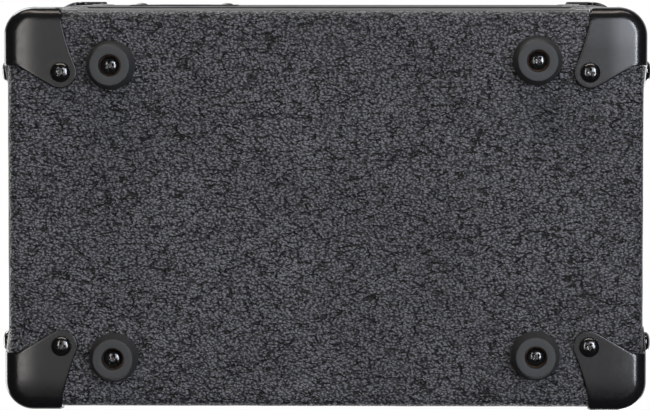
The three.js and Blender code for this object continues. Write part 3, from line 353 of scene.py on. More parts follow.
def copies(name, copy, places, finish, size=1.0, loose_spin=0.0, seed=0):
    """Copies of an object at (point, facing, spin) places, as one mesh."""
    mesh = bpy.data.meshes.new(name)
    mesh.from_pydata([tuple(point) for point, _, _ in places], [], [])
    facing = mesh.attributes.new("facing", "FLOAT_VECTOR", "POINT")
    facing.data.foreach_set("vector", [c for _, way, _ in places for c in way])
    spin = mesh.attributes.new("spin", "FLOAT", "POINT")
    spin.data.foreach_set("value", [float(s) for _, _, s in places])
    made = run_tree(bpy.data.objects.new(name, mesh), group_of(copies_tree), {
        "Copy": copy, "Size": size, "Loose Spin": loose_spin, "Seed": seed, "Finish": finish})
    bpy.data.objects.remove(copy)
    return made


def bead(name, points, radius, finish, closed=False, sides=12):
    """A round bead along a line of points."""
    mesh = bpy.data.meshes.new(name)
    ends = [(i, i + 1) for i in range(len(points) - 1)] + ([(len(points) - 1, 0)] if closed else [])
    mesh.from_pydata([tuple(p) for p in points], ends, [])
    return run_tree(bpy.data.objects.new(name, mesh), group_of(bead_tree), {
        "Radius": radius, "Sides": sides, "Finish": finish})


def joined(name, parts):
    """Several objects of one finish as one object."""
    with bpy.context.temp_override(active_object=parts[0], selected_editable_objects=parts):
        bpy.ops.object.join()
    parts[0].name = parts[0].data.name = name
    return parts[0]


# ---- finishes ----


def start_finish(name, **settings):
    """A new material with a Principled shader, and its values that are the same all over.

    Returns the material, its tree and its shader."""
    made = bpy.data.materials.new(name)
    made.use_nodes = True
    shader = made.node_tree.nodes["Principled BSDF"]
    for label, value in settings.items():
        shader.inputs[label.replace("_", " ").title().replace("Ior", "IOR")].default_value = value
    return made, made.node_tree, shader


def in_millimetres(tree, stretch=(1, 1, 1)):
    """Object coordinates in millimetres, divided by a stretch along each axis."""
    place = node(tree, "ShaderNodeTexCoord").outputs["Object"]
    return node(tree, "ShaderNodeMapping", {"Vector": place, "Scale": [1 / MM / s for s in stretch]}).outputs[0]


def coat(tree, shader, tone, sheen, height=None, depth=0.0):
    """Feeds a shader its colour and roughness, and a relief of the given depth where it has one."""
    tree.links.new(tone, shader.inputs["Base Color"])
    tree.links.new(sheen, shader.inputs["Roughness"])
    if depth:
        relief = node(tree, "ShaderNodeBump", {"Height": height, "Distance": depth, "Strength": 1.0}).outputs[0]
        tree.links.new(relief, shader.inputs["Normal"])


def mottled(name, low, high, rough, size, depth, stretch=(1, 1, 1), **settings):
    """A finish whose colour, roughness and height all vary with one grain of a real size in millimetres."""
    made, tree, shader = start_finish(name, **settings)
    grain = node(tree, "ShaderNodeTexNoise", {
        "Vector": in_millimetres(tree, stretch), "Scale": 1 / size, "Detail": 3.0, "Roughness": 0.55}).outputs[0]
    amount = node(tree, "ShaderNodeMapRange", {
        "Value": grain, "From Min": 0.3, "From Max": 0.7}, interpolation_type="SMOOTHSTEP").outputs[0]
    low, high = [linear(c) if isinstance(c, str) else list(c) for c in (low, high)]
    tone = node(tree, "ShaderNodeMix", {0: amount, 6: low, 7: high}, data_type="RGBA").outputs[2]
    sheen = node(tree, "ShaderNodeMapRange", {
        "Value": grain, "From Min": 0.3, "From Max": 0.7, "To Min": rough[0], "To Max": rough[1]},
        interpolation_type="SMOOTHSTEP").outputs[0]
    coat(tree, shader, tone, sheen, grain, depth * MM)
    return made


def vinyl_finish(sizes, colours):
    """Embossed PVC-coated cloth, pressed to look like leather: small uneven pebbles cut by longer creases that
    wander across the box. Each pebble's flank catches a small highlight, and the colour carries painted light and
    shade: lighter on the pebble tops and black in the creases, so it reads as a lively charcoal."""
    made, tree, shader = start_finish("embossed_vinyl_painted_light_and_shade", ior=1.5, specular_ior_level=0.34)
    grain, crease = sizes.grain / MM, sizes.crease / MM
    dome_share, ridge_share, crease_share = 0.6, 0.75, 0.34
    drift_size, patch_size, wear_size = 4.0, 4.0, 38.0
    wander = 2.0
    tilt = (0, 0, math.radians(8))
    place = in_millimetres(tree)
    drift = node(tree, "ShaderNodeTexNoise", {
        "Vector": place, "Scale": 1 / drift_size, "Detail": 4.0}).outputs["Color"]
    centred = node(tree, "ShaderNodeVectorMath", {0: drift, 1: (0.5, 0.5, 0.5)}, operation="SUBTRACT").outputs[0]
    push = node(tree, "ShaderNodeVectorMath", {0: centred, "Scale": wander}, operation="SCALE").outputs[0]
    warped = node(tree, "ShaderNodeVectorMath", {0: place, 1: push}, operation="ADD").outputs[0]
    pebble_place = node(tree, "ShaderNodeMapping", {
        "Vector": warped, "Rotation": tilt, "Scale": (0.75, 1.0, 1.0)}).outputs[0]
    heart = node(tree, "ShaderNodeTexVoronoi", {"Vector": pebble_place, "Scale": 1 / grain}).outputs["Distance"]
    dome = node(tree, "ShaderNodeMapRange", {
        "Value": heart, "From Min": 0.0, "From Max": 0.8, "To Min": 1.0, "To Max": 0.0},
        interpolation_type="SMOOTHSTEP").outputs[0]
    ridge = node(tree, "ShaderNodeTexNoise", {
        "Vector": pebble_place, "Scale": 1 / (0.7 * grain), "Detail": 2.0, "Roughness": 0.6}).outputs[0]
    crease_place = node(tree, "ShaderNodeMapping", {
        "Vector": warped, "Rotation": tilt, "Scale": (1 / crease, 3.2 / crease, 3.2 / crease)}).outputs[0]
    long_edge = node(tree, "ShaderNodeTexVoronoi", {
        "Vector": crease_place, "Scale": 1.0}, feature="DISTANCE_TO_EDGE").outputs[0]
    furrow = node(tree, "ShaderNodeMapRange", {
        "Value": long_edge, "From Min": 0.0, "From Max": 0.1, "To Min": 1.0, "To Max": 0.0},
        interpolation_type="SMOOTHSTEP").outputs[0]
    patches = node(tree, "ShaderNodeTexNoise", {
        "Vector": place, "Scale": 1 / patch_size, "Detail": 2.0, "Roughness": 0.55}).outputs[0]
    broken = node(tree, "ShaderNodeMapRange", {
        "Value": patches, "From Min": 0.4, "From Max": 0.58}, interpolation_type="SMOOTHSTEP").outputs[0]
    cut = node(tree, "ShaderNodeMath", {0: furrow, 1: broken}, operation="MULTIPLY").outputs[0]
    domes = node(tree, "ShaderNodeMath", {0: dome, 1: dome_share}, operation="MULTIPLY").outputs[0]
    ridges = node(tree, "ShaderNodeMath", {0: ridge, 1: ridge_share}, operation="MULTIPLY").outputs[0]
    lumps = node(tree, "ShaderNodeMath", {0: domes, 1: ridges}, operation="ADD").outputs[0]
    sunk = node(tree, "ShaderNodeMath", {0: cut, 1: crease_share}, operation="MULTIPLY").outputs[0]
    height = node(tree, "ShaderNodeMath", {0: lumps, 1: sunk}, operation="SUBTRACT").outputs[0]
    blotches = node(tree, "ShaderNodeTexNoise", {
        "Vector": place, "Scale": 1 / wear_size, "Detail": 3.0, "Roughness": 0.55}).outputs[0]
    wear = node(tree, "ShaderNodeMapRange", {
        "Value": blotches, "From Min": 0.3, "From Max": 0.75, "To Min": 0.86, "To Max": 1.1},
        interpolation_type="SMOOTHSTEP").outputs[0]
    # Painted light and shade: the colour follows the height, lighter on the pebble tops and black down in the
    # creases.
    raised = node(tree, "ShaderNodeMapRange", {
        "Value": height, "From Min": 0.26, "From Max": 0.98}, interpolation_type="SMOOTHSTEP").outputs[0]
    amount = node(tree, "ShaderNodeMath", {0: raised, 1: wear}, operation="MULTIPLY").outputs[0]
    tone = node(tree, "ShaderNodeMix", {
        0: amount, 6: list(colours.vinyl_crease), 7: list(colours.vinyl)}, data_type="RGBA").outputs[2]
    sheen = node(tree, "ShaderNodeMapRange", {
        "Value": height, "From Min": 0.0, "From Max": 1.0, "To Min": 0.55, "To Max": 0.33},
        interpolation_type="SMOOTHSTEP").outputs[0]
    coat(tree, shader, tone, sheen, height, sizes.grain_depth)
    return made


def cloth_finish(sizes, colours):
    """Woven grille cloth: dark threads over and under each other with a light fleck thread every few rows."""
    made, tree, shader = start_finish("woven_grille_cloth", ior=1.46, sheen_weight=0.25)
    thread = sizes.thread / MM
    thread_height = 0.35 * MM
    fleck_rows, patch_size = 4, 2.6
    place = node(tree, "ShaderNodeSeparateXYZ", {0: in_millimetres(tree)}).outputs
    waves = []
    for axis, other in ((0, 2), (2, 0)):
        across = node(tree, "ShaderNodeMath", {
            0: place[axis], 1: math.pi / thread}, operation="MULTIPLY").outputs[0]
        along = node(tree, "ShaderNodeMath", {
            0: place[other], 1: math.pi / thread}, operation="MULTIPLY").outputs[0]
        wave = node(tree, "ShaderNodeMath", {0: across}, operation="SINE").outputs[0]
        ridge = node(tree, "ShaderNodeMath", {0: wave}, operation="ABSOLUTE").outputs[0]
        threads = node(tree, "ShaderNodeMath", {0: place[axis], 1: thread}, operation="DIVIDE").outputs[0]
        row = node(tree, "ShaderNodeMath", {0: threads}, operation="FLOOR").outputs[0]
        half_turns = node(tree, "ShaderNodeMath", {0: row, 1: math.pi}, operation="MULTIPLY").outputs[0]
        swing = node(tree, "ShaderNodeMath", {0: along, 1: half_turns}, operation="ADD").outputs[0]
        lift = node(tree, "ShaderNodeMath", {0: swing}, operation="COSINE").outputs[0]
        over = node(tree, "ShaderNodeMapRange", {
            "Value": lift, "From Min": -1.0, "From Max": 1.0, "To Min": 0.25, "To Max": 1.0},
            interpolation_type="SMOOTHSTEP").outputs[0]
        waves.append(node(tree, "ShaderNodeMath", {0: ridge, 1: over}, operation="MULTIPLY").outputs[0])
    weave = node(tree, "ShaderNodeMath", {0: waves[0], 1: waves[1]}, operation="MAXIMUM").outputs[0]
    rows = node(tree, "ShaderNodeMath", {0: place[2], 1: fleck_rows * thread}, operation="DIVIDE").outputs[0]
    part = node(tree, "ShaderNodeMath", {0: rows, 1: 1.0}, operation="MODULO").outputs[0]
    part = node(tree, "ShaderNodeMath", {0: part}, operation="ABSOLUTE").outputs[0]
    fleck_row = node(tree, "ShaderNodeMapRange", {
        "Value": part, "From Min": 0.2, "From Max": 0.28, "To Min": 1.0, "To Max": 0.0},
        interpolation_type="SMOOTHSTEP").outputs[0]
    fleck = node(tree, "ShaderNodeMath", {0: fleck_row, 1: waves[1]}, operation="MULTIPLY").outputs[0]
    blotches = node(tree, "ShaderNodeTexNoise", {
        "Vector": in_millimetres(tree), "Scale": 1 / patch_size, "Detail": 2.0, "Roughness": 0.55}).outputs[0]
    patch = node(tree, "ShaderNodeMapRange", {
        "Value": blotches, "From Min": 0.35, "From Max": 0.65, "To Min": 0.25, "To Max": 1.0},
        interpolation_type="SMOOTHSTEP").outputs[0]
    amount = node(tree, "ShaderNodeMath", {0: fleck, 1: patch}, operation="MULTIPLY").outputs[0]
    tone = node(tree, "ShaderNodeMix", {
        0: amount, 6: list(colours.cloth), 7: list(colours.cloth_fleck)}, data_type="RGBA").outputs[2]
    sheen = node(tree, "ShaderNodeMapRange", {
        "Value": weave, "From Min": 0.0, "From Max": 1.0, "To Min": 0.9, "To Max": 0.65},
        interpolation_type="SMOOTHSTEP").outputs[0]
    coat(tree, shader, tone, sheen, weave, thread_height)
    return made


def lamp_finish(colours):
    """A clear-coloured acrylic lens, faintly lit from behind, with a fine moulded haze."""
    made, tree, shader = start_finish(
        "red_acrylic_lens", ior=1.49, transmission_weight=0.35, emission_strength=0.15)
    shader.inputs["Emission Color"].default_value = list(colours.lamp)
    haze_size = 0.8
    haze = node(tree, "ShaderNodeTexNoise", {
        "Vector": in_millimetres(tree), "Scale": 1 / haze_size, "Detail": 3.0, "Roughness": 0.55}).outputs[0]
    deep = [c * 0.55 for c in colours.lamp[:3]] + [1.0]
    tone = node(tree, "ShaderNodeMix", {0: haze, 6: deep, 7: list(colours.lamp)}, data_type="RGBA").outputs[2]
    sheen = node(tree, "ShaderNodeMapRange", {
        "Value": haze, "From Min": 0.3, "From Max": 0.7, "To Min": 0.08, "To Max": 0.2},
        interpolation_type="SMOOTHSTEP").outputs[0]
    coat(tree, shader, tone, sheen)
    return made


def make_finishes():
    """Every finish of the amplifier, by a short name."""
    sizes, colours = bpy.context.scene.amplifier_sizes, bpy.context.scene.amplifier_colours
    cap, rubber, knob = list(colours.cap), list(colours.rubber), list(colours.knob)
    cap_light = [c * 1.35 for c in cap[:3]] + [1.0]
    rubber_dark = [c * 0.6 for c in rubber[:3]] + [1.0]
    knob_light = [c * 1.5 for c in knob[:3]] + [1.0]
    return {
        "vinyl": vinyl_finish(sizes, colours),
        "cloth": cloth_finish(sizes, colours),
        "lamp": lamp_finish(colours),
        # Injection-moulded ABS with a fine spark-eroded texture: soft wide highlights on a black ground.
        "cap": mottled("moulded_black_abs", cap, cap_light, (0.19, 0.23), 1.6, 0.004, ior=1.53),
        # Moulded rubber, matt with a grey bloom: no clear highlight, dark sides.
        "rubber": mottled("moulded_rubber", rubber_dark, rubber, (0.55, 0.75), 1.1, 0.05, ior=1.52),
        # Black enamelled steel screws: deep black with small white highlights where a lamp is mirrored.
        "enamel": mottled("black_enamelled_steel", "#0a0a0b", "#141415", (0.12, 0.2), 1.0, 0.0, ior=1.62,
                          specular_ior_level=0.75),
        # Nickel-plated steel screw heads: bright where they see a light, black elsewhere.
        "nickel": mottled("nickel_plated_steel", "#8f8f90", "#a9a8a6", (0.16, 0.3), 0.9, 0.012, metallic=1.0),
        # Black oxide steel: a dark metal with dull small glints.
        "black_screw": mottled("black_oxide_steel", "#1b1b1c", "#2c2c2d", (0.28, 0.42), 0.8, 0.02, metallic=1.0),
        # Zinc-plated washers: a real yellow-brown passivated tint, darkened almost to black as painted shade of the
        # foot's recess.
        "washer": mottled("yellow_zinc_washer_with_painted_recess_shade", "#17110d", "#4a362a", (0.3, 0.45), 2.2, 0.0, metallic=1.0),
        # Electroplated zinc on steel: an even cool grey with a soft, slightly clouded sheen.
        "steel": mottled("zinc_plated_sheet", "#86898c", "#8f9295", (0.33, 0.4), 3.0, 0.006, metallic=1.0),
        # Brass contacts and bushes.
        "brass": mottled("turned_brass", "#a98545", "#c6a25e", (0.18, 0.3), 1.2, 0.01, metallic=1.0),
        # Brushed and black-anodised aluminium: fine streaks along its length that spread the highlight.
        "strip": mottled("brushed_black_anodised_aluminium", "#1c1d1f", "#2e2f32", (0.28, 0.46), 0.5, 0.012,
                         stretch=(30, 1, 1), metallic=1.0),
        # Screen-printed ink, slightly uneven.
        "marks": mottled("screen_printed_ink", [c * 0.85 for c in colours.marks[:3]] + [1.0], colours.marks,
                         (0.5, 0.62), 0.9, 0.0, ior=1.5),
        # Extruded PVC piping, off-white: smooth, with a soft highlight along the bead.
        "piping": mottled("extruded_pvc_piping", [c * 0.9 for c in colours.marks[:3]] + [1.0], colours.marks,
                          (0.36, 0.46), 2.4, 0.01, ior=1.53),
        # Phenolic and ABS for knobs, button and rocker: smooth black with a clean highlight.
        "knob": mottled("polished_black_phenolic", knob, knob_light, (0.2, 0.32), 1.4, 0.01, ior=1.55),
        # Black nylon housings of sockets and switches, more matt than the knobs.
        "plastic": mottled("moulded_black_nylon", "#17181a", "#232427", (0.42, 0.55), 0.9, 0.02, ior=1.53),
        # Raw particle board: straw-brown chips.
        "board": mottled("particle_board", "#7c6243", "#b39467", (0.75, 0.9), 2.6, 0.12, stretch=(2.2, 2.2, 1)),
        # The same board under thin black paint: chips show through as faint relief.
        "black_board": mottled("black_painted_board", "#131314", "#212123", (0.55, 0.72), 3.0, 0.1,
                               stretch=(2.2, 1, 2.2)),
        # Solder-masked glass-epoxy board: green with tracks of a lighter tone under the mask.
        "circuit": mottled("solder_masked_board", "#123a20", "#1f5a31", (0.25, 0.4), 2.2, 0.02, stretch=(4, 1, 1)),
        # Heat-shrunk PVC sleeve: smooth and glossy.
        "sleeve": mottled("capacitor_sleeve", "#14161c", "#20242e", (0.22, 0.34), 2.0, 0.01, ior=1.52),
        # Stacked silicon-steel laminations: fine layers seen on the edges.
        "core": mottled("laminated_core", "#4b4a49", "#7a7876", (0.4, 0.6), 0.5, 0.06, stretch=(40, 1, 40),
                        metallic=1.0),
        # Yellow polyester winding tape with the turns faintly showing.
        "winding": mottled("winding_tape", "#b48a2c", "#d2a83e", (0.3, 0.45), 1.0, 0.05, stretch=(20, 20, 1)),
        # Extruded aluminium with drawing lines along the fins.
        "aluminium": mottled("extruded_aluminium", "#a3a5a8", "#bfc1c3", (0.3, 0.42), 0.5, 0.01,
                             stretch=(1, 1, 24), metallic=1.0),
        # Sintered ferrite: a charcoal ceramic, dull and finely pitted.
        "magnet": mottled("sintered_ferrite", "#232325", "#38383b", (0.5, 0.65), 0.9, 0.06),
        # Pressed paper pulp: fibres give a soft, uneven dark grey.
        "paper": mottled("pressed_paper_cone", "#1b1b1c", "#39393a", (0.78, 0.92), 1.6, 0.1),
        # Doped cloth of the surround: dark with a tacky half-gloss.
        "surround": mottled("doped_cloth_surround", "#151516", "#262627", (0.45, 0.6), 0.9, 0.06),
        # Resin-soaked cotton of the spider: brown-yellow weave.
        "spider": mottled("resin_soaked_cotton", "#7b5a2e", "#a27b46", (0.65, 0.8), 0.8, 0.1),
        # Pressed fibre gasket of the speaker's rim.
        "gasket": mottled("pressed_fibre_gasket", "#4d4438", "#6b604f", (0.8, 0.9), 1.2, 0.08),
        # Powder-coated steel basket: fine orange peel in black.
        "basket": mottled("powder_coated_steel", "#1d1e20", "#2b2c2f", (0.35, 0.5), 1.3, 0.05, ior=1.5),
        # Waxed black polyester sewing thread.
        "stitch": mottled("polyester_thread", "#2c2c2d", "#4a4a4b", (0.6, 0.75), 0.5, 0.05, sheen_weight=0.2),
        # Wax-coated ceramic and film components, ochre.
        "component": mottled("dipped_component", "#8c5a24", "#c08a44", (0.3, 0.42), 1.5, 0.02, ior=1.5),
    }


# ---- camera, lights and floor ----


def aim(obj, place, target, up):
    """Points a lamp or the camera from its place at a target, its own up towards the given way."""
    place = Vector(place)
    back = (place - Vector(target)).normalized()
    right = Vector(up).cross(back).normalized()
    obj.matrix_world = Matrix.Translation(place) @ Matrix((right, back.cross(right), back)).transposed().to_4x4()


def lamp(name, place, target, width, height, watts, tint="#ffffff"):
    """A soft rectangular lamp that the camera doesn't see. A lamp below the floor has its height along Y."""
    data = bpy.data.lights.new(name, "AREA")
    data.shape = "RECTANGLE"
    data.size, data.size_y = width, height
    data.energy = watts
    data.color = linear(tint)[:3]
    made = bpy.data.objects.new(name, data)
    bpy.context.scene.collection.objects.link(made)
    aim(made, place, target, (0, 1, 0) if place[2] < 0 else (0, 0, 1))
    made.visible_camera = False
    return made


class AMP_OT_camera(bpy.types.Operator):
    """Place the camera under the amplifier, looking up at its underside"""
    bl_idname = "amplifier.camera"
    bl_label = "Camera"

    def execute(self, context):
        data = bpy.data.cameras.new("camera")
        data.sensor_width, data.lens = 36.0, 221.9
        data.clip_start, data.clip_end = 0.01, 100.0
        made = bpy.data.objects.new("camera", data)
        context.scene.collection.objects.link(made)
        aim(made, (-0.035, 0.1013, -1.66), (0.0, 0.0019, 0.010), (0, 1, 0))
        context.scene.camera = made
        return {"FINISHED"}


class AMP_OT_stage(bpy.types.Operator):
    """Lay the pale floor and hang the soft studio lights"""
    bl_idname = "amplifier.stage"
    bl_label = "Floor and Lights"

    # The distances from the middle at which the paper starts to fade and is plain white.
    paper_to, white_from = 0.22, 0.95

    def execute(self, context):
        scene = context.scene
        scene.view_settings.view_transform = "Standard"
        self.floor()
        self.world(scene)
        under = (0.0, 0.0, 0.0)
        lamp("under_panel", (-0.10, 0.08, -1.80), under, 1.6, 1.2, 4.2)
        lamp("right_panel", (-0.55, 0.42, -1.70), under, 0.6, 0.9, 8.5, "#eef3ff")
        lamp("right_softbox", (-0.70, 0.15, -1.20), under, 0.12, 0.9, 9.0, "#f0f5ff")
        lamp("left_softbox", (0.46, 0.15, -1.20), under, 0.09, 0.9, 2.2, "#fffaf4")
        lamp("rear_fill", (0.0, 1.25, -0.40), under, 1.5, 0.22, 7.0, "#fff3e6")
        lamp("front_key", (-0.9, -1.5, 1.5), (0, 0, 0.14), 1.2, 1.2, 34.0)
        lamp("side_key", (1.7, -0.3, 1.1), (0, 0, 0.14), 1.1, 1.1, 22.0)
        lamp("rear_key", (0.9, 1.6, 1.3), (0, 0, 0.14), 1.2, 1.2, 30.0)
        return {"FINISHED"}

    def floor(self):
        """Matt pale paper under the feet, fading to plain white away from them. It is seen from above only: from
        below, and to every light ray, it is clear."""
        form = bmesh.new()
        bmesh.ops.create_grid(form, x_segments=8, y_segments=8, size=5.0,
                              matrix=Matrix.Translation((0, 0, -0.2 * MM)))
        made, tree, shader = start_finish("matt_paper_floor", ior=1.45, specular_ior_level=0.1)
        fibre_size = 1.5
        fibres = node(tree, "ShaderNodeTexNoise", {
            "Vector": in_millimetres(tree), "Scale": 1 / fibre_size, "Detail": 3.0, "Roughness": 0.55}).outputs[0]
        tone = node(tree, "ShaderNodeMix", {
            0: fibres, 6: linear("#f0f0ef"), 7: linear("#f6f6f5")}, data_type="RGBA").outputs[2]
        sheen = node(tree, "ShaderNodeMapRange", {
            "Value": fibres, "From Min": 0.3, "From Max": 0.7, "To Min": 0.85, "To Max": 0.95},
            interpolation_type="SMOOTHSTEP").outputs[0]
        coat(tree, shader, tone, sheen)
        away = node(tree, "ShaderNodeVectorMath", {0: node(tree, "ShaderNodeTexCoord").outputs["Object"]},
                    operation="LENGTH").outputs["Value"]
        fade = node(tree, "ShaderNodeMapRange", {
            "Value": away, "From Min": self.paper_to, "From Max": self.white_from},
            interpolation_type="SMOOTHSTEP").outputs[0]
        white = node(tree, "ShaderNodeEmission", {"Color": (1, 1, 1, 1), "Strength": 1.0}).outputs[0]
        paper = node(tree, "ShaderNodeMixShader", {0: fade, 1: shader.outputs[0], 2: white}).outputs[0]
        clear = node(tree, "ShaderNodeBsdfTransparent").outputs[0]
        camera_ray = node(tree, "ShaderNodeLightPath").outputs["Is Camera Ray"]
        behind = node(tree, "ShaderNodeNewGeometry").outputs["Backfacing"]
        front = node(tree, "ShaderNodeMath", {0: 1.0, 1: behind}, operation="SUBTRACT").outputs[0]
        seen = node(tree, "ShaderNodeMath", {0: camera_ray, 1: front}, operation="MULTIPLY").outputs[0]
        mixed = node(tree, "ShaderNodeMixShader", {0: seen, 1: clear, 2: paper}).outputs[0]
        tree.links.new(mixed, tree.nodes["Material Output"].inputs["Surface"])
        floor = from_bmesh("floor", form, made, recalculate=False)

    def world(self, scene):
        """White behind the amplifier, and a dim even room for everything that it lights and mirrors."""
        world = bpy.data.worlds.new("white_studio")
        scene.world = world
        world.use_nodes = True
        tree = world.node_tree
        path = node(tree, "ShaderNodeLightPath").outputs
        way = node(tree, "ShaderNodeTexCoord").outputs["Generated"]
        sky = node(tree, "ShaderNodeSeparateXYZ", {0: way}).outputs[2]
        mirrored = node(tree, "ShaderNodeMapRange", {
            "Value": sky, "From Min": 0.25, "From Max": 0.75, "To Min": 0.015, "To Max": 1.0},
            interpolation_type="SMOOTHSTEP").outputs[0]
        mirrored_ray = node(tree, "ShaderNodeMath", {
            0: path["Is Glossy Ray"], 1: path["Is Transmission Ray"]}, operation="MAXIMUM").outputs[0]
        room = node(tree, "ShaderNodeMix", {0: mirrored_ray, 2: 0.07, 3: mirrored}, data_type="FLOAT").outputs[0]
        strength = node(tree, "ShaderNodeMix", {
            0: path["Is Camera Ray"], 2: room, 3: 1.0}, data_type="FLOAT").outputs[0]
        shader = tree.nodes["Background"]
        shader.inputs["Color"].default_value = (1, 1, 1, 1)
        tree.links.new(strength, shader.inputs["Strength"])


# ---- the covered box ----


def rounded(points, stand):
    """Points of the cabinet's sharp box carried to its rounded form, standing off the vinyl by stand."""
    points = np.asarray(points, float) - CABINET_MIDDLE
    inner = CABINET_HALF - EDGE_ROUND
    plan_round = CORNER_ROUND - EDGE_ROUND
    plan = np.clip(points[:, :2], -(inner[:2] - plan_round), inner[:2] - plan_round)
    away = points[:, :2] - plan
    reach = np.linalg.norm(away, axis=1)
    away = away * (np.minimum(reach, plan_round) / np.maximum(reach, 1e-12))[:, None]
    core = np.column_stack([plan + away, np.clip(points[:, 2], -inner[2], inner[2])])
    way = points - core
    way /= np.linalg.norm(way, axis=1)[:, None]
    return core + way * (EDGE_ROUND + np.asarray(stand, float).reshape(-1, 1)) + CABINET_MIDDLE


def lines(half, margin, fine, coarse):
    """Grid lines from -half to half: fine near both ends, for margin, and coarse between."""
    near = np.linspace(0, margin, round(margin / fine) + 1)
    middle = np.linspace(-(half - margin), half - margin, round(2 * (half - margin) / coarse) + 1)
    return np.concatenate([near - half, middle[1:-1], half - near[::-1]])


class AMP_OT_covering(bpy.types.Operator):
    """Wrap the box in its embossed vinyl"""
    bl_idname = "amplifier.covering"
    bl_label = "Vinyl Covering"

    lip = 1.2 * MM
    lining = 0.7 * MM
    wall = 0.6 * MM
    swell = 0.12 * MM

    def execute(self, context):
        margin = CABINET_HALF[0] - INSIDE_HALF_WIDTH - self.lip
        across, deep, tall = (lines(half, margin, 0.65 * MM, step)
                              for half, step in zip(CABINET_HALF, (3 * MM, 3 * MM, 6 * MM)))
        form = bmesh.new()
        spots = {}

        def spot(place):
            key = tuple(round(c / MM * 100) for c in place)
            if key not in spots:
                spots[key] = form.verts.new(place)
            return spots[key]

        def open_here(u, w):
            return abs(u) < CABINET_HALF[0] - margin and abs(w) < CABINET_HALF[2] - margin

        for axis in range(3):
            first, second = [lines_ for i, lines_ in enumerate((across, deep, tall)) if i != axis]
            for side in (-1, 1):
                for a, b in zip(first, first[1:]):
                    for c, d in zip(second, second[1:]):
                        if axis == 1 and open_here((a + b) / 2, (c + d) / 2):
                            continue
                        quad = [np.insert((u, w), axis, side * CABINET_HALF[axis])
                                for u, w in ((a, c), (b, c), (b, d), (a, d))]
                        form.faces.new([spot(p) for p in quad])
        form.verts.ensure_lookup_table()
        sharp = np.array([v.co for v in form.verts]) + CABINET_MIDDLE
        waves = [noise.noise(Vector(p) / (14 * MM)) * self.swell - self.swell for p in sharp]
        for vert, place in zip(form.verts, rounded(sharp, waves)):
            vert.co = place
        self.turn_in(form, -1, STRIP_FACE - 0.35 * MM, self.lining)
        self.turn_in(form, 1, REAR_FACE - 3 * MM, 0.1 * MM)
        covering = from_bmesh("covering", form, FINISH["vinyl"], sharp=60)
        wall = covering.modifiers.new("wall", "SOLIDIFY")
        wall.thickness, wall.offset = self.wall, -1
        seat(settle(covering), "cabinet", "vinyl", "vinyl_covering")
        return {"FINISHED"}

    def turn_in(self, form, side, depth, inset):
        """Turns the vinyl over the lip of the opening on one side, and lines the recess down to depth."""
        face = CABINET_MIDDLE[1] + side * CABINET_HALF[1]
        rim = [e for e in form.edges if e.is_boundary and abs(e.verts[0].co.y - face) < 2 * MM]
        half_w, half_h = INSIDE_HALF_WIDTH, INSIDE_HALF_HEIGHT
        stages = [(self.lip * (1 - math.sin(a)), self.lip * (1 - math.cos(a)))
                  for a in (math.radians(30), math.radians(60), math.radians(90))]
        stages = [(out, face - side * down) for out, down in stages] + [(-inset, depth)]
        for out, y in stages:
            made = bmesh.ops.extrude_edge_only(form, edges=rim)["geom"]
            wide = max(abs(v.co.x) for v in made if isinstance(v, bmesh.types.BMVert))
            high = max(abs(v.co.z - CABINET_MIDDLE[2]) for v in made if isinstance(v, bmesh.types.BMVert))
            for vert in (v for v in made if isinstance(v, bmesh.types.BMVert)):
                vert.co = (vert.co.x * (half_w + out) / wide, y,
                           CABINET_MIDDLE[2] + (vert.co.z - CABINET_MIDDLE[2]) * (half_h + out) / high)
            rim = [e for e in made if isinstance(e, bmesh.types.BMEdge) and e.is_boundary]


# ---- corner caps, feet and their screws ----

CAP_STAND = 1.4 * MM
CAP_SEAT = 0.2 * MM
CAP_LEG = 23 * MM
CAP_STRAIGHT = 4.6 * MM
CAP_LIP = 11 * MM
LOBE = (22.6 * MM, 25.7 * MM)
LOBE_RADIUS = 6.7 * MM
LOBE_REACH = 11 * MM


def curve(start, control, end, count=14):
    return [tuple((1 - t) ** 2 * a + 2 * t * (1 - t) * b + t * t * c for a, b, c in zip(start, control, end))
            for t in (i / count for i in range(count + 1))]


def lobe_outline():
    """The edge of a cap's plate on the bottom or a side, from one leg round the screw's lobe to the other."""
    (u, v), r = LOBE, LOBE_RADIUS
    flare, tuck = math.radians(-22), math.radians(30)
    start = (u + r * math.cos(flare), v + r * math.sin(flare))
    end_angle = math.radians(120)
    end = (u + r * math.cos(end_angle), v + r * math.sin(end_angle))
    first = (start[0] - LOBE_REACH * math.sin(-flare), start[1] - LOBE_REACH * math.cos(flare))
    last = (end[0] - LOBE_REACH * math.cos(tuck), end[1] - LOBE_REACH * math.sin(tuck))
    arc = [(u + r * math.cos(a), v + r * math.sin(a)) for a in np.linspace(flare, end_angle, 30)]
    return ([(CAP_LEG, 0.0), (CAP_LEG, CAP_STRAIGHT / 2), (CAP_LEG, CAP_STRAIGHT)]
            + curve((CAP_LEG, CAP_STRAIGHT), first, start)[1:] + arc[1:]
            + curve(end, last, (CAP_STRAIGHT, CAP_LEG))[1:] + [(CAP_STRAIGHT / 2, CAP_LEG), (0.0, CAP_LEG)])


def lip_outline():
    """The edge of a cap's L on the front or the rear."""
    corner_points = [(CAP_LEG, 0, 0), (CAP_LEG, CAP_LIP, 0), (CAP_LIP, CAP_LIP, 0), (CAP_LIP, CAP_LEG, 0),
                     (0, CAP_LEG, 0)]
    return [(p.x, p.y) for p in rounded_line(corner_points, 3 * MM, 6)]


def drawn_in(outline, by):
    """An outline moved inwards, its two ends kept on the edges of the box."""
    line = np.array(outline)
    before, after = np.vstack([line[:1], line[:-1]]), np.vstack([line[1:], line[-1:]])
    along = after - before
    along /= np.linalg.norm(along, axis=1)[:, None]
    moved = line + np.column_stack([-along[:, 1], along[:, 0]]) * by
    moved[0], moved[-1] = (line[0][0] - by, 0.0), (0.0, line[-1][1] - by)
    return [tuple(p) for p in moved]


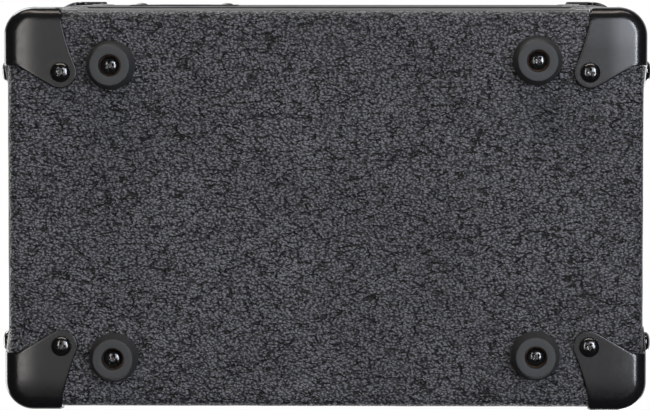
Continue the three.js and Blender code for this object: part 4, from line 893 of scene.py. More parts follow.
class AMP_OT_corner_caps(bpy.types.Operator):
    """Mould the eight corner caps"""
    bl_idname = "amplifier.corner_caps"
    bl_label = "Corner Caps"

    fine = 0.7 * MM
    coarse = 1.8 * MM
    roll = 11 * MM
    fall_width = 15 * MM

    def execute(self, context):
        sizes = context.scene.amplifier_sizes
        points, triangles = self.patch(sizes.cap_edge)
        for level, z_side in (("bottom", -1), ("top", 1)):
            for depth, y_side in (("front", -1), ("rear", 1)):
                for side, x_side in (("left", 1), ("right", -1)):
                    self.cap("_".join(("corner_cap", level, depth, side)), points, triangles,
                             np.array((x_side, y_side, z_side)), sizes)
        return {"FINISHED"}

    def patch(self, edge):
        """The cap's skin as points, measured in from the corner along X, Y and Z, and triangles."""
        steps = np.concatenate([np.arange(0, self.roll, self.fine), np.arange(self.roll, CAP_LEG, self.coarse)])
        steps = [s for s in steps if s < CAP_LEG - edge - 0.3 * MM]
        found, triangles = {}, []
        for axes, outline, turn in (((0, 1), lobe_outline(), -1), ((2, 1), lobe_outline(), 1),
                                    ((0, 2), lip_outline(), 1)):
            border = drawn_in(outline, edge)
            beside = drawn_in(outline, edge + self.fine)[2:-2]
            ring = border + [(0.0, s) for s in reversed(steps)] + [(s, 0.0) for s in steps[1:]]
            grid = [(a, b) for a in self.fill() for b in self.fill()]
            grid = [p for p in grid if self.clear_inside(Vector(p), border, beside)]
            points = [Vector(p) for p in ring + beside + grid]
            result = geometry.delaunay_2d_cdt(points, [], [list(range(len(ring)))], 1, 1e-7)
            names = []
            for p in result[0]:
                place = [0.0, 0.0, 0.0]
                place[axes[0]], place[axes[1]] = p
                names.append(found.setdefault(tuple(round(c / MM * 1000) for c in place), (len(found), place))[0])
            triangles += [[names[i] for i in face[::turn]] for face in result[2]]
        return np.array([place for _, place in found.values()]), triangles

    def fill(self):
        reach = LOBE[1] + LOBE_RADIUS
        near = np.arange(self.fine, self.roll, self.fine)
        return np.concatenate([near, np.arange(self.roll, reach, self.coarse)])

    def clear_inside(self, point, border, beside):
        """Whether a point lies inside an outline, and clear of it and of the row of points beside it."""
        polygon = [(0.0, 0.0)] + list(border)
        inside = False
        for (ax, ay), (bx, by) in zip(polygon, polygon[1:] + polygon[:1]):
            if (ay > point.y) != (by > point.y) and point.x < (bx - ax) * (point.y - ay) / (by - ay) + ax:
                inside = not inside
        gap = min(math.dist(point, p) for p in list(border) + beside)
        return inside and gap > 0.9 * self.fine

    def cap(self, name, points, triangles, side, sizes):
        """One cap: its skin, a rounded trim all round it and the seat against the vinyl."""
        sharp = CABINET_MIDDLE + side * (CABINET_HALF - points)
        outer = rounded(sharp, CAP_STAND)
        inner = rounded(sharp, CAP_SEAT)
        facing = (outer - inner) / (CAP_STAND - CAP_SEAT)
        fall = np.clip(1 - points / self.fall_width, 0, 1) ** 2
        beside = np.minimum(fall.sum(axis=1)[:, None] - fall, 1.0)
        outer[:, 2] -= (side * sizes.cap_crown * facing ** 2 * beside)[:, 2]
        form = bmesh.new()
        tops = [form.verts.new(p) for p in outer]
        seats = [form.verts.new(p) for p in inner]
        for triangle in triangles:
            form.faces.new([tops[i] for i in triangle])
            form.faces.new([seats[i] for i in reversed(triangle)])
        form.verts.index_update()
        after = self.rim(form, len(tops))
        out = {}
        for here, (before, following) in after.items():
            along = Vector(outer[following] - outer[before]).normalized()
            normal = Vector(outer[here] - inner[here]).normalized()
            out[here] = (along.cross(normal), normal)
        middle = Vector(outer.mean(axis=0))
        sign = 1 if sum(o.dot(Vector(outer[i]) - middle) for i, (o, _) in out.items()) > 0 else -1
        edge = sizes.cap_edge
        levels = [tops]
        for angle in (18, 36, 54, 72, 90):
            a = math.radians(angle)
            levels.append({i: form.verts.new(Vector(outer[i]) + out[i][0] * sign * edge * math.sin(a)
                                             - out[i][1] * edge * (1 - math.cos(a))) for i in out})
        levels.append({i: form.verts.new(Vector(inner[i]) + out[i][0] * sign * edge) for i in out})
        levels.append(seats)
        for near, far in zip(levels, levels[1:]):
            for i, (_, j) in after.items():
                form.faces.new([near[i], near[j], far[j], far[i]])
        made = from_bmesh(name, form, FINISH["cap"], sharp=50)
        seat(made, "cabinet", "cap", name)

    def rim(self, form, count):
        """For each point of the skin's edge, the point before and the point after it."""
        links = {}
        for edge in form.edges:
            a, b = (v.index for v in edge.verts)
            if a < count and b < count and len(edge.link_faces) == 1:
                loop = edge.link_loops[0]
                links[loop.vert.index] = loop.link_loop_next.vert.index
        back = {b: a for a, b in links.items()}
        return {i: (back[i], j) for i, j in links.items()}


def screw_head(name, radius, height, cross, finish, washer=0.0):
    """A pan head with a cross recess, its seat at the origin and its top along +Z."""
    form = bmesh.new()
    dome = [(radius * math.sin(a) ** 0.85 if a else 0.0, height * (0.30 + 0.70 * math.cos(a)))
            for a in (math.radians(10 * i) for i in range(9, -1, -1))]
    turned(form, [(0, 0), (radius * 0.97, 0), (radius, height * 0.12)] + dome, along="Z", steps=40)
    head = from_bmesh(name, form, finish, sharp=35)
    wide, deep = cross * 0.27, height * 0.8
    for turn in (0, 90):
        tip = Matrix.Rotation(math.radians(turn), 3, "Z")
        slot = bmesh.new()
        levels = ((0.62, height - deep), (1.0, height * 1.2))
        spots = [(sx * cross / 2 * k, sy * wide / 2 * k, z) for k, z in levels
                 for sx, sy in ((-1, -1), (1, -1), (1, 1), (-1, 1))]
        verts = [slot.verts.new(tip @ Vector(p)) for p in spots]
        for loop in ((3, 2, 1, 0), (4, 5, 6, 7), (0, 1, 5, 4), (1, 2, 6, 5), (2, 3, 7, 6), (3, 0, 4, 7)):
            slot.faces.new([verts[i] for i in loop])
        carve(head, from_bmesh("cross", slot, finish))
    edge = head.modifiers.new("edge", "BEVEL")
    edge.width, edge.segments, edge.limit_method, edge.angle_limit = 0.12 * MM, 1, "ANGLE", math.radians(40)
    settle(head)
    head.data.shade_smooth()
    head.data.set_sharp_from_angle(angle=math.radians(40))
    return head


class AMP_OT_feet(bpy.types.Operator):
    """Turn the four rubber feet, each with a washer and a screw in its recess"""
    bl_idname = "amplifier.feet"
    bl_label = "Feet"

    base, face, edge = 10.3 * MM, 8.5 * MM, 0.6 * MM
    recess, recess_depth = 4.5 * MM, 4.6 * MM

    def execute(self, context):
        for name in [f"foot_{d}_{s}" for d in ("front", "rear") for s in ("left", "right")]:
            low, high = corner(name, 0), corner(name, 1)
            middle = (low + high) / 2
            centre = (middle[0], middle[1], low[2])
            height = high[2] - low[2]
            form = bmesh.new()
            arc = [math.radians(15 * i) for i in range(7)]
            rim = [(self.face - self.edge * (1 - math.sin(a)), self.edge * (1 - math.cos(a))) for a in arc]
            lip = [(self.recess + self.edge * (1 - math.sin(a)), self.edge * (1 - math.cos(a))) for a in arc]
            profile = ([(0, height), (self.base, height), (self.base, height - 1.2 * MM)] + rim[::-1] + lip
                       + [(self.recess, self.recess_depth), (0, self.recess_depth)])
            turned(form, profile, centre, along="Z")
            seat(from_bmesh(name, form, FINISH["rubber"], sharp=40), "cabinet", "foot", name)
            ring = bmesh.new()
            deep = self.recess_depth
            turned(ring, [(2.1 * MM, deep - 0.1 * MM), (4.0 * MM, deep - 0.1 * MM), (4.3 * MM, deep - 0.5 * MM),
                          (4.2 * MM, deep - 0.9 * MM), (2.1 * MM, deep - 0.7 * MM), (2.1 * MM, deep - 0.1 * MM)],
                   centre, along="Z", steps=48)
            seat(from_bmesh(name.replace("foot", "foot_washer"), ring, FINISH["washer"]), "cabinet", "screw")
            head = screw_head("head", 3.8 * MM, 2.4 * MM, 4.3 * MM, FINISH["enamel"])
            spot = Vector(centre) + Vector((0, 0, deep - 0.7 * MM))
            screw = name.replace("foot", "foot_screw")
            spin = (hash_of(name) % 90) * math.pi / 180
            seat(copies(screw, head, [(spot, (0, 0, -1), spin)], FINISH["enamel"]), "cabinet", "screw", screw)
        return {"FINISHED"}


def hash_of(name):
    """A number that stays the same for a name in every run."""
    return sum((i + 3) * ord(c) for i, c in enumerate(name))


class AMP_OT_cap_screws(bpy.types.Operator):
    """Set two enamelled screws in each corner cap"""
    bl_idname = "amplifier.cap_screws"
    bl_label = "Cap Screws"

    def execute(self, context):
        sizes = context.scene.amplifier_sizes
        head = screw_head("head", sizes.screw_head, 2.7 * MM, 4.1 * MM, FINISH["enamel"])
        places = []
        for z_side in (-1, 1):
            for y_side in (-1, 1):
                for x_side in (-1, 1):
                    side = np.array((x_side, y_side, z_side))
                    under = CABINET_MIDDLE + side * (CABINET_HALF - np.array((LOBE[0], LOBE[1], -CAP_STAND)))
                    beside = CABINET_MIDDLE + side * (CABINET_HALF - np.array((-CAP_STAND, LOBE[1], LOBE[0])))
                    places += [(under, (0, 0, z_side), 0.0), (beside, (x_side, 0, 0), 0.0)]
        made = copies("cap_screws", head, places, FINISH["enamel"], loose_spin=math.pi / 2, seed=sizes.seed)
        seat(made, "cabinet", "screw")
        return {"FINISHED"}


# ---- front: cloth, control strip and controls ----


class AMP_OT_grille(bpy.types.Operator):
    """Stretch the grille cloth over the baffle and run the piping round it"""
    bl_idname = "amplifier.grille"
    bl_label = "Grille Cloth"

    def execute(self, context):
        sizes = context.scene.amplifier_sizes
        low, high = corner("grille_cloth", 0), corner("grille_cloth", 1)
        width, tall = high[0] - low[0], high[2] - low[2]
        across, up = np.linspace(low[0], high[0], 81), np.linspace(low[2], high[2], 65)
        form = bmesh.new()
        rows = [[form.verts.new((x, low[1] + 0.1 * MM, z)) for x in across] for z in up]
        for under, over in zip(rows, rows[1:]):
            for i in range(len(across) - 1):
                form.faces.new([under[i], under[i + 1], over[i + 1], over[i]])
        cloth = from_bmesh("grille_sheet", form, FINISH["cloth"], recalculate=False)
        thick = cloth.modifiers.new("thickness", "SOLIDIFY")
        thick.thickness, thick.offset = 0.5 * MM, -1
        settle(cloth)
        seat(cloth, "cabinet", "cloth", "grille_cloth")
        r = sizes.piping
        x, bottom, top = width / 2 - r, low[2] + r, high[2] - r
        spots = [(-x, low[1] - 0.5 * r, bottom), (x, low[1] - 0.5 * r, bottom), (x, low[1] - 0.5 * r, top),
                 (-x, low[1] - 0.5 * r, top)]
        ring = []
        for i in range(4):
            before, here, after = (Vector(spots[j % 4]) for j in (i - 1, i, i + 1))
            ring += rounded_line([before, here, after], 5 * MM, 6)[1:-1]
        piping = bead("piping", ring, r, FINISH["piping"], closed=True)
        seat(piping, "cabinet", "plastic")
        return {"FINISHED"}


def text_mesh(body, size, place, finish):
    """A raised numeral facing the front, its middle at place."""
    data = bpy.data.curves.new("numeral", "FONT")
    data.body, data.size, data.extrude = body, size, 0.06 * MM
    data.align_x, data.align_y, data.resolution_u = "CENTER", "CENTER", 3
    flat = bpy.data.objects.new("numeral", data)
    bpy.context.scene.collection.objects.link(flat)
    bpy.context.view_layer.update()
    mesh = bpy.data.meshes.new_from_object(flat.evaluated_get(bpy.context.evaluated_depsgraph_get()))
    bpy.data.objects.remove(flat)
    mesh.transform(Matrix.Translation(place) @ Matrix.Rotation(math.pi / 2, 4, "X"))
    mesh.materials.clear()
    mesh.materials.append(finish)
    made = bpy.data.objects.new("numeral", mesh)
    bpy.context.scene.collection.objects.link(made)
    return made


class AMP_OT_dials(bpy.types.Operator):
    """Print the dial ticks and numbers round each knob"""
    bl_idname = "amplifier.dials"
    bl_label = "Dial Marks"

    tick_at, number_at = 11.3 * MM, 14.2 * MM

    def execute(self, context):
        sizes = context.scene.amplifier_sizes
        places, numbers = [], []
        for knob in KNOBS:
            x = (corner(knob + "_knob", 0)[0] + corner(knob + "_knob", 1)[0]) / 2
            for i in range(sizes.dial_divisions + 1):
                angle = math.radians(-150 + 300 * i / sizes.dial_divisions)
                way = Vector((math.sin(angle), 0, math.cos(angle)))
                middle = Vector((x, STRIP_FACE - 0.05 * MM, STRIP_MIDDLE_Z))
                places.append((middle + way * self.tick_at, tuple(way), 0.0))
                numbers.append(text_mesh(str(i), 3.0 * MM, middle + way * self.number_at, FINISH["marks"]))
        form = bmesh.new()
        block(form, (-0.22 * MM, -0.09 * MM, -0.9 * MM), (0.22 * MM, 0.05 * MM, 0.9 * MM))
        tick = from_bmesh("tick", form, FINISH["marks"])
        ticks = copies("dial_ticks", tick, places, FINISH["marks"])
        seat(ticks, "cabinet", "strip")
        seat(joined("dial_numbers", numbers), "cabinet", "strip")
        return {"FINISHED"}


class AMP_OT_knobs(bpy.types.Operator):
    """Turn the four fluted knobs with their pointer lines"""
    bl_idname = "amplifier.knobs"
    bl_label = "Knobs"

    def execute(self, context):
        flutes = context.scene.amplifier_sizes.flutes
        for knob in KNOBS:
            low, high = corner(knob + "_knob", 0), corner(knob + "_knob", 1)
            x, radius = (low[0] + high[0]) / 2, (high[0] - low[0]) / 2
            back, front = high[1], low[1] + 0.5 * MM

            def fluted(angle, r, y):
                depth = 0.55 * MM if back - 3 * MM > y > front + 1.2 * MM and r > radius * 0.8 else 0.0
                return r - depth * (0.5 + 0.5 * math.cos(flutes * angle)) ** 2

            form = bmesh.new()
            skirt = back - 2.6 * MM
            profile = [(0, back), (radius, back), (radius, skirt), (radius * 0.9, skirt - 0.7 * MM),
                       (radius * 0.87, skirt - 1.4 * MM), (radius * 0.82, front + 1.6 * MM),
                       (radius * 0.79, front + 0.6 * MM), (radius * 0.72, front), (radius * 0.66, front),
                       (radius * 0.6, front + 0.35 * MM), (0, front + 0.5 * MM)]
            turned(form, profile, (x, 0, STRIP_MIDDLE_Z), steps=144, shape=fluted)
            seat(from_bmesh(knob + "_knob_body", form, FINISH["knob"], sharp=35), knob + "_knob", "knob",
                 knob + "_knob")
            line = bmesh.new()
            block(line, (x - 0.5 * MM, front - 0.3 * MM, STRIP_MIDDLE_Z + 1.5 * MM),
                  (x + 0.5 * MM, front + 0.9 * MM, STRIP_MIDDLE_Z + radius * 0.77), 0.12 * MM)
            block(line, (x - 0.5 * MM, skirt - 0.35 * MM, STRIP_MIDDLE_Z + radius * 0.84),
                  (x + 0.5 * MM, skirt + 0.9 * MM, STRIP_MIDDLE_Z + radius * 0.99), 0.12 * MM)
            seat(from_bmesh(knob + "_pointer", line, FINISH["marks"], sharp=30), knob + "_knob", "knob")
        return {"FINISHED"}


class AMP_OT_controls(bpy.types.Operator):
    """Make the jacks' nuts and washers, and the lamp's lens and bezel"""
    bl_idname = "amplifier.controls"
    bl_label = "Jacks and Switches"

    def execute(self, context):
        face = STRIP_FACE
        for jack in ("input_jack", "phones_jack"):
            low, high = corner(jack, 0), corner(jack, 1)
            x, radius = (low[0] + high[0]) / 2, 5.6 * MM
            nut, washer = bmesh.new(), bmesh.new()

            def six(angle, r, y):
                corner_reach = r / math.cos((angle + math.pi / 6) % (math.pi / 3) - math.pi / 6)
                return corner_reach if r > radius * 0.93 else r

            turned(nut, [(4.0 * MM, face - 0.6 * MM), (radius, face - 0.6 * MM), (radius, face - 2.6 * MM),
                         (radius * 0.9, face - 3.0 * MM), (4.4 * MM, face - 3.0 * MM), (4.3 * MM, face - 4.4 * MM),
                         (3.9 * MM, face - 4.7 * MM), (3.3 * MM, face - 4.6 * MM), (3.2 * MM, face - 0.6 * MM),
                         (4.0 * MM, face - 0.6 * MM)], (x, 0, STRIP_MIDDLE_Z), steps=72, shape=six)
            turned(washer, [(3.3 * MM, face), (6.9 * MM, face), (6.8 * MM, face - 0.5 * MM),
                            (3.3 * MM, face - 0.5 * MM), (3.3 * MM, face)], (x, 0, STRIP_MIDDLE_Z), steps=64)
            seat(from_bmesh(jack + "_nut", nut, FINISH["nickel"], sharp=30), "cabinet", "plastic")
            seat(from_bmesh(jack + "_washer", washer, FINISH["nickel"], sharp=30), "cabinet", "plastic")
        low, high = corner("power_lamp", 0), corner("power_lamp", 1)
        x, z = (low[0] + high[0]) / 2, STRIP_MIDDLE_Z
        reach = face - low[1]
        lens, bezel = bmesh.new(), bmesh.new()
        turned(lens, [(0, face - 0.2 * MM), (3.0 * MM, face - 0.2 * MM)]
               + [(3.0 * MM * math.cos(a), face - 0.8 * MM - (reach - 0.9 * MM) * math.sin(a))
                  for a in (math.radians(9 * i) for i in range(10))] + [(0, low[1] + 0.1 * MM)],
               (x, 0, z), steps=48)
        turned(bezel, [(3.1 * MM, face), (4.8 * MM, face), (4.6 * MM, face - 0.8 * MM),
                       (3.9 * MM, face - 1.3 * MM), (3.2 * MM, face - 1.1 * MM), (3.1 * MM, face)],
               (x, 0, z), steps=64)
        seat(from_bmesh("lamp_lens", lens, FINISH["lamp"], sharp=40), "cabinet", "lamp", "power_lamp")
        seat(from_bmesh("lamp_bezel", bezel, FINISH["nickel"], sharp=40), "cabinet", "plastic")
        return {"FINISHED"}


# ---- speaker ----

BASKET_NECK = 42.4 * MM
BASKET_LEDGE = 50.0 * MM


class AMP_OT_speaker(bpy.types.Operator):
    """Press the speaker's cone, surround, spider and basket"""
    bl_idname = "amplifier.speaker"
    bl_label = "Speaker"

    def execute(self, context):
        centre = (0, 0, SPEAKER_AXIS_Z)
        self.cone(centre)
        self.surround(centre)
        self.spider(centre)
        self.basket(centre)
        return {"FINISHED"}

    def cone(self, centre):
        low, high = corner("speaker_cone", 0), corner("speaker_cone", 1)
        radius, rim, back = (high[0] - low[0]) / 2, low[1], high[1]
        coil, coil_wall, skin = 13.4 * MM, 0.8 * MM, 0.9 * MM
        neck, cup = 14.8 * MM, rim + 23 * MM
        cap_edge, cap_front, cap_depth = 18.4 * MM, rim + 12 * MM, 8.6 * MM
        wall = [(neck + (radius - neck) * t, cup + (rim - cup) * t ** 1.12) for t in np.linspace(0, 1, 20)]
        last = math.radians(80)
        cap = [(cap_edge * math.sin(a) / math.sin(last),
                cap_front + cap_depth * (1 - math.cos(a)) / (1 - math.cos(last)))
               for a in np.linspace(0, last, 12)]
        front = [(0, cap_front)] + cap[1:] + [p for p in wall if p[0] > cap_edge + 1 * MM]
        rear = [(r, y + skin) for r, y in reversed(wall)]
        former = [(coil, cup + skin), (coil, back), (coil - coil_wall, back), (coil - coil_wall, cup - 1 * MM),
                  (0, cup - 1 * MM)]
        form = turned(bmesh.new(), front + rear + former, centre, steps=96)
        seat(from_bmesh("cone", form, FINISH["paper"], sharp=35), "speaker_cone", "paper", "speaker_cone")

    def surround(self, centre):
        low, high = corner("cone_surround", 0), corner("cone_surround", 1)
        outer = (high[0] - low[0]) / 2
        inner = corner("speaker_cone", 1)[0] - 1.2 * MM
        flat, peak = high[1] - 0.5 * MM, low[1]
        start, end = inner + 1.4 * MM, outer - 4.4 * MM
        roll = [((start + end) / 2 - (end - start) / 2 * math.cos(a), flat + (peak - flat) * math.sin(a) * 0.96)
                for a in (math.radians(15 * i) for i in range(13))]
        form = bmesh.new()
        front = [(inner, flat)] + roll + [(outer, flat)]
        rear = [(r, y + 0.5 * MM) for r, y in reversed(front)]
        turned(form, front + rear + [front[0]], centre, steps=96)
        made = from_bmesh("surround", form, FINISH["surround"], sharp=50)
        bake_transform(made)
        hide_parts("cone_surround")

    def spider(self, centre):
        low, high = corner("cone_spider", 0), corner("cone_spider", 1)
        outer, y = (high[0] - low[0]) / 2, (low[1] + high[1]) / 2
        inner = 14.2 * MM
        form = bmesh.new()
        radii = np.linspace(inner, outer, 40)
        turned(form, [(r, y) for r in radii], centre, steps=72)
        flat = from_bmesh("flat_spider", form, FINISH["spider"])
        mesh = flat.data
        bpy.data.objects.remove(flat)
        made = run_tree(bpy.data.objects.new("spider", mesh), group_of(ripple_tree), {
            "Centre": centre, "Pitch": 3.6 * MM, "Height": min(0.9 * MM, (high[1] - low[1]) / 2),
            "Finish": FINISH["spider"]})
        thick = made.modifiers.new("thickness", "SOLIDIFY")
        thick.thickness, thick.offset = 0.4 * MM, 0
        settle(made)
        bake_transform(made)
        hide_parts("cone_spider")

    def basket(self, centre):
        """The pressed frame: a flat rim, six windows in its cone, a ledge for the spider and a neck."""
        low, high = corner("speaker_basket", 0), corner("speaker_basket", 1)
        outer, face, end = (high[0] - low[0]) / 2, low[1], high[1]
        sheet, rim_inner, hole = 1.4 * MM, 62.5 * MM, 15.0 * MM
        shelf = face + 29 * MM
        skin = rounded_line([
            (rim_inner, face, 0), (outer, face, 0), (outer, face + sheet, 0), (rim_inner + 1.6 * MM, face + sheet, 0),
            (BASKET_LEDGE + 1 * MM, shelf, 0), (BASKET_NECK, shelf, 0), (BASKET_NECK, end, 0), (hole, end, 0),
            (hole, end - sheet, 0), (BASKET_NECK - sheet, end - sheet, 0), (BASKET_NECK - sheet, shelf - sheet, 0),
            (BASKET_LEDGE, shelf - sheet, 0), (rim_inner, face + sheet, 0), (rim_inner, face, 0)], 1.0 * MM, 3)
        frame_form = turned(bmesh.new(), [(p.x, p.y) for p in skin], centre, steps=96)
        made = from_bmesh("basket", frame_form, FINISH["basket"], sharp=35)
        for i in range(6):
            tool = bmesh.new()
            block(tool, (-17 * MM, face + 4 * MM, 20 * MM), (17 * MM, shelf - 5 * MM, 90 * MM), 3 * MM, 4)
            bmesh.ops.transform(tool, verts=tool.verts, matrix=Matrix.Translation(centre)
                                @ Matrix.Rotation(math.radians(30 + 60 * i), 4, "Y"))
            carve(made, from_bmesh("window", tool, FINISH["basket"]))
        made.data.shade_smooth()
        made.data.set_sharp_from_angle(angle=math.radians(35))
        seat(made, "cabinet", "steel", "speaker_basket")
        gasket = bmesh.new()
        turned(gasket, [(outer - 9 * MM, face + sheet), (outer - 1.4 * MM, face + sheet),
                        (outer - 1.4 * MM, face + sheet + 1.1 * MM), (outer - 9 * MM, face + sheet + 1.1 * MM),
                        (outer - 9 * MM, face + sheet)], centre, steps=96)
        seat(from_bmesh("rim_gasket", gasket, FINISH["gasket"], sharp=40), "cabinet", "suspension")
        head = screw_head("head", 3.6 * MM, 2.2 * MM, 3.8 * MM, FINISH["black_screw"])
        places = []
        for i in range(8):
            a = math.radians(22.5 + 45 * i)
            spot = Vector(centre) + Vector(((outer - 5.2 * MM) * math.cos(a), face + sheet + 1.1 * MM,
                                            (outer - 5.2 * MM) * math.sin(a)))
            places.append((spot, (0, 1, 0), 0.0))
        seed = bpy.context.scene.amplifier_sizes.seed
        screws = copies("speaker_screws", head, places, FINISH["black_screw"], loose_spin=math.pi / 2, seed=seed)
        seat(screws, "cabinet", "screw")


# ---- handle ----


class AMP_OT_handle(bpy.types.Operator):
    """Shape and stitch the padded handle, hang it on its strap ends and screw down the end caps"""
    bl_idname = "amplifier.handle"
    bl_label = "Handle"

    def execute(self, context):
        sizes = context.scene.amplifier_sizes
        low, high = corner("handle_grip", 0), corner("handle_grip", 1)
        self.grip(low, high, sizes)
        for side, sign in (("left", 1), ("right", -1)):
            self.strap("handle_strap_" + side, sign, low, high)
            self.end_cap("handle_end_cap_" + side)
        return {"FINISHED"}

    def grip(self, low, high, sizes):
        """A padded bar whose section swells between its sewn edges, and narrows to the strap at its ends."""
        middle, half = (low + high) / 2, (high - low) / 2
        form = bmesh.new()
        rings = []
        steps, around = 48, 40
        for i in range(steps + 1):
            t = -1 + 2 * i / steps
            end = max(0.0, (abs(t) - 0.86) / 0.14)
            wide = half[1] * (1 - 0.22 * end ** 2)
            tall = half[2] * (1 - 0.42 * end ** 2)
            ring = []
            for j in range(around):
                a = 2 * math.pi * j / around
                c, s = math.cos(a), math.sin(a)
                y = wide * math.copysign(abs(c) ** 0.55, c)
                z = tall * math.copysign(abs(s) ** 0.8, s)
                groove = 0.35 * MM * math.exp(-((abs(y) - (wide - 3.0 * MM)) / (0.7 * MM)) ** 2)
                ring.append(form.verts.new((middle[0] + half[0] * t, middle[1] + y,
                                            middle[2] + z - math.copysign(groove, z) * (abs(s) > 0.05))))
            rings.append(ring)
        for near, far in zip(rings, rings[1:]):
            for j in range(around):
                k = (j + 1) % around
                form.faces.new([near[j], near[k], far[k], far[j]])
        form.faces.new(rings[0][::-1])
        form.faces.new(rings[-1])
        made = from_bmesh("handle_pad", form, FINISH["rubber"], sharp=50)
        seat(made, "handle", "handle", "handle_grip")
        stitch = bmesh.new()
        turned(stitch, [(0, -1.25 * MM), (0.28 * MM, -1.0 * MM), (0.36 * MM, 0), (0.28 * MM, 1.0 * MM),
                        (0, 1.25 * MM)], along="Z", steps=8)
        count = round(2 * (half[0] - 9 * MM) / sizes.stitch_pitch)
        places = [((middle[0] + (i - count / 2) * sizes.stitch_pitch, middle[1] + row * (half[1] - 3.0 * MM),
                    middle[2] + face * (half[2] * 0.86)), (1, 0, 0), 0.0)
                  for row in (-1, 1) for face in (-1, 1) for i in range(count + 1)]
        seams = copies("handle_stitches", from_bmesh("stitch", stitch, FINISH["stitch"]), places, FINISH["stitch"])
        seat(seams, "handle", "handle")

    def strap(self, name, sign, low, high):
        """A flat strap from the end of the grip, down in a lazy bend and in under its end cap."""
        box_low, box_high = corner(name, 0), corner(name, 1)
        thick, wide = 3.6 * MM, (box_high[1] - box_low[1]) / 2
        inner, outer = sorted((abs(box_low[0]), abs(box_high[0])))
        mouth = outer - 20 * MM
        top, bottom = (low[2] + high[2]) / 2, box_low[2] + thick / 2
        bend = (inner + mouth) / 2
        path = [((1 - t) ** 3 * inner + 3 * t * (1 - t) * bend + t ** 3 * mouth,
                 ((1 - t) ** 3 + 3 * t * (1 - t) ** 2) * top + (3 * t * t * (1 - t) + t ** 3) * bottom)
                for t in np.linspace(0, 1, 25)] + [(mouth + step * MM, bottom) for step in (5, 10, 15, 19.9)]
        form = bmesh.new()
        rings = []
        for i, (x, z) in enumerate(path):
            before, after = path[max(i - 1, 0)], path[min(i + 1, len(path) - 1)]
            slope = math.atan2(after[1] - before[1], after[0] - before[0])
            ring = []
            for y, h in self.section(wide, thick / 2):
                ring.append(form.verts.new((sign * (x - h * math.sin(slope)), y, z + h * math.cos(slope))))
            rings.append(ring)
        count = len(rings[0])
        for near, far in zip(rings, rings[1:]):
            for j in range(count):
                k = (j + 1) % count
                form.faces.new([near[j], near[k], far[k], far[j]])
        form.faces.new(rings[0])
        form.faces.new(rings[-1])
        made = from_bmesh(name.replace("handle_", ""), form, FINISH["rubber"], sharp=50)
        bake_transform(made)
        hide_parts(name)

    def section(self, wide, half):
        edge = half * 0.9
        corners = [(wide, half), (-wide, half), (-wide, -half), (wide, -half)]
        line = []
        for i, (y, z) in enumerate(corners):
            start = 90 * i
            centre = (math.copysign(wide - edge, y), math.copysign(half - edge, z))
            line += [(centre[0] + edge * math.cos(math.radians(start + a)),
                      centre[1] + edge * math.sin(math.radians(start + a))) for a in (0, 22.5, 45, 67.5, 90)]
        return line

    def end_cap(self, name):
        """Sets a screw in the end cap, which keeps the frame's shape."""
        low, high = corner(name, 0), corner(name, 1)
        middle = (low + high) / 2
        head = screw_head("head", 3.6 * MM, 1.6 * MM, 3.8 * MM, FINISH["nickel"])
        outward = 7 * MM * (1 if middle[0] > 0 else -1)
        spot = (middle[0] + outward, middle[1], high[2] - 0.6 * MM)
        screw = copies(name.replace("handle_end_cap", "handle_screw"), head, [(spot, (0, 0, 1), 0.6)],
                       FINISH["nickel"])
        seat(screw, "cabinet", "screw")


# ---- rear and inside ----


class AMP_OT_rear(bpy.types.Operator):
    """Screw the rear boards on, with a cup washer under each head"""
    bl_idname = "amplifier.rear"
    bl_label = "Rear Boards"

    inset = 9 * MM
    cup_radius = 5.6 * MM

    def execute(self, context):
        sizes = context.scene.amplifier_sizes
        places = []
        for board in ("rear_board_upper", "rear_board_lower"):
            low, high = corner(board, 0), corner(board, 1)
            for x in (low[0] + self.inset, high[0] - self.inset):
                for z in (low[2] + self.inset, high[2] - self.inset):
                    places.append(((x, high[1], z), (0, 1, 0), 0.0))
        cup = bmesh.new()
        turned(cup, [(1.5 * MM, 0), (self.cup_radius, 0), (self.cup_radius, 0.1 * MM),
                     (self.cup_radius * 0.85, 0.35 * MM), (3.9 * MM, 0.3 * MM), (3.5 * MM, 0.1 * MM),
                     (1.5 * MM, 0.1 * MM), (1.5 * MM, 0)], along="Z", steps=40)
        cups = copies("rear_cup_washers", from_bmesh("cup", cup, FINISH["enamel"]), places, FINISH["enamel"])
        seat(cups, "cabinet", "screw")
        raised = [(Vector(p) - Vector((0, 1.4 * MM, 0)), way, spin) for p, way, spin in places]
        head = screw_head("head", 3.5 * MM, 2.0 * MM, 3.6 * MM, FINISH["enamel"])
        screws = copies("rear_screws", head, raised, FINISH["enamel"], loose_spin=math.pi / 2, seed=sizes.seed)
        seat(screws, "cabinet", "screw")
        return {"FINISHED"}


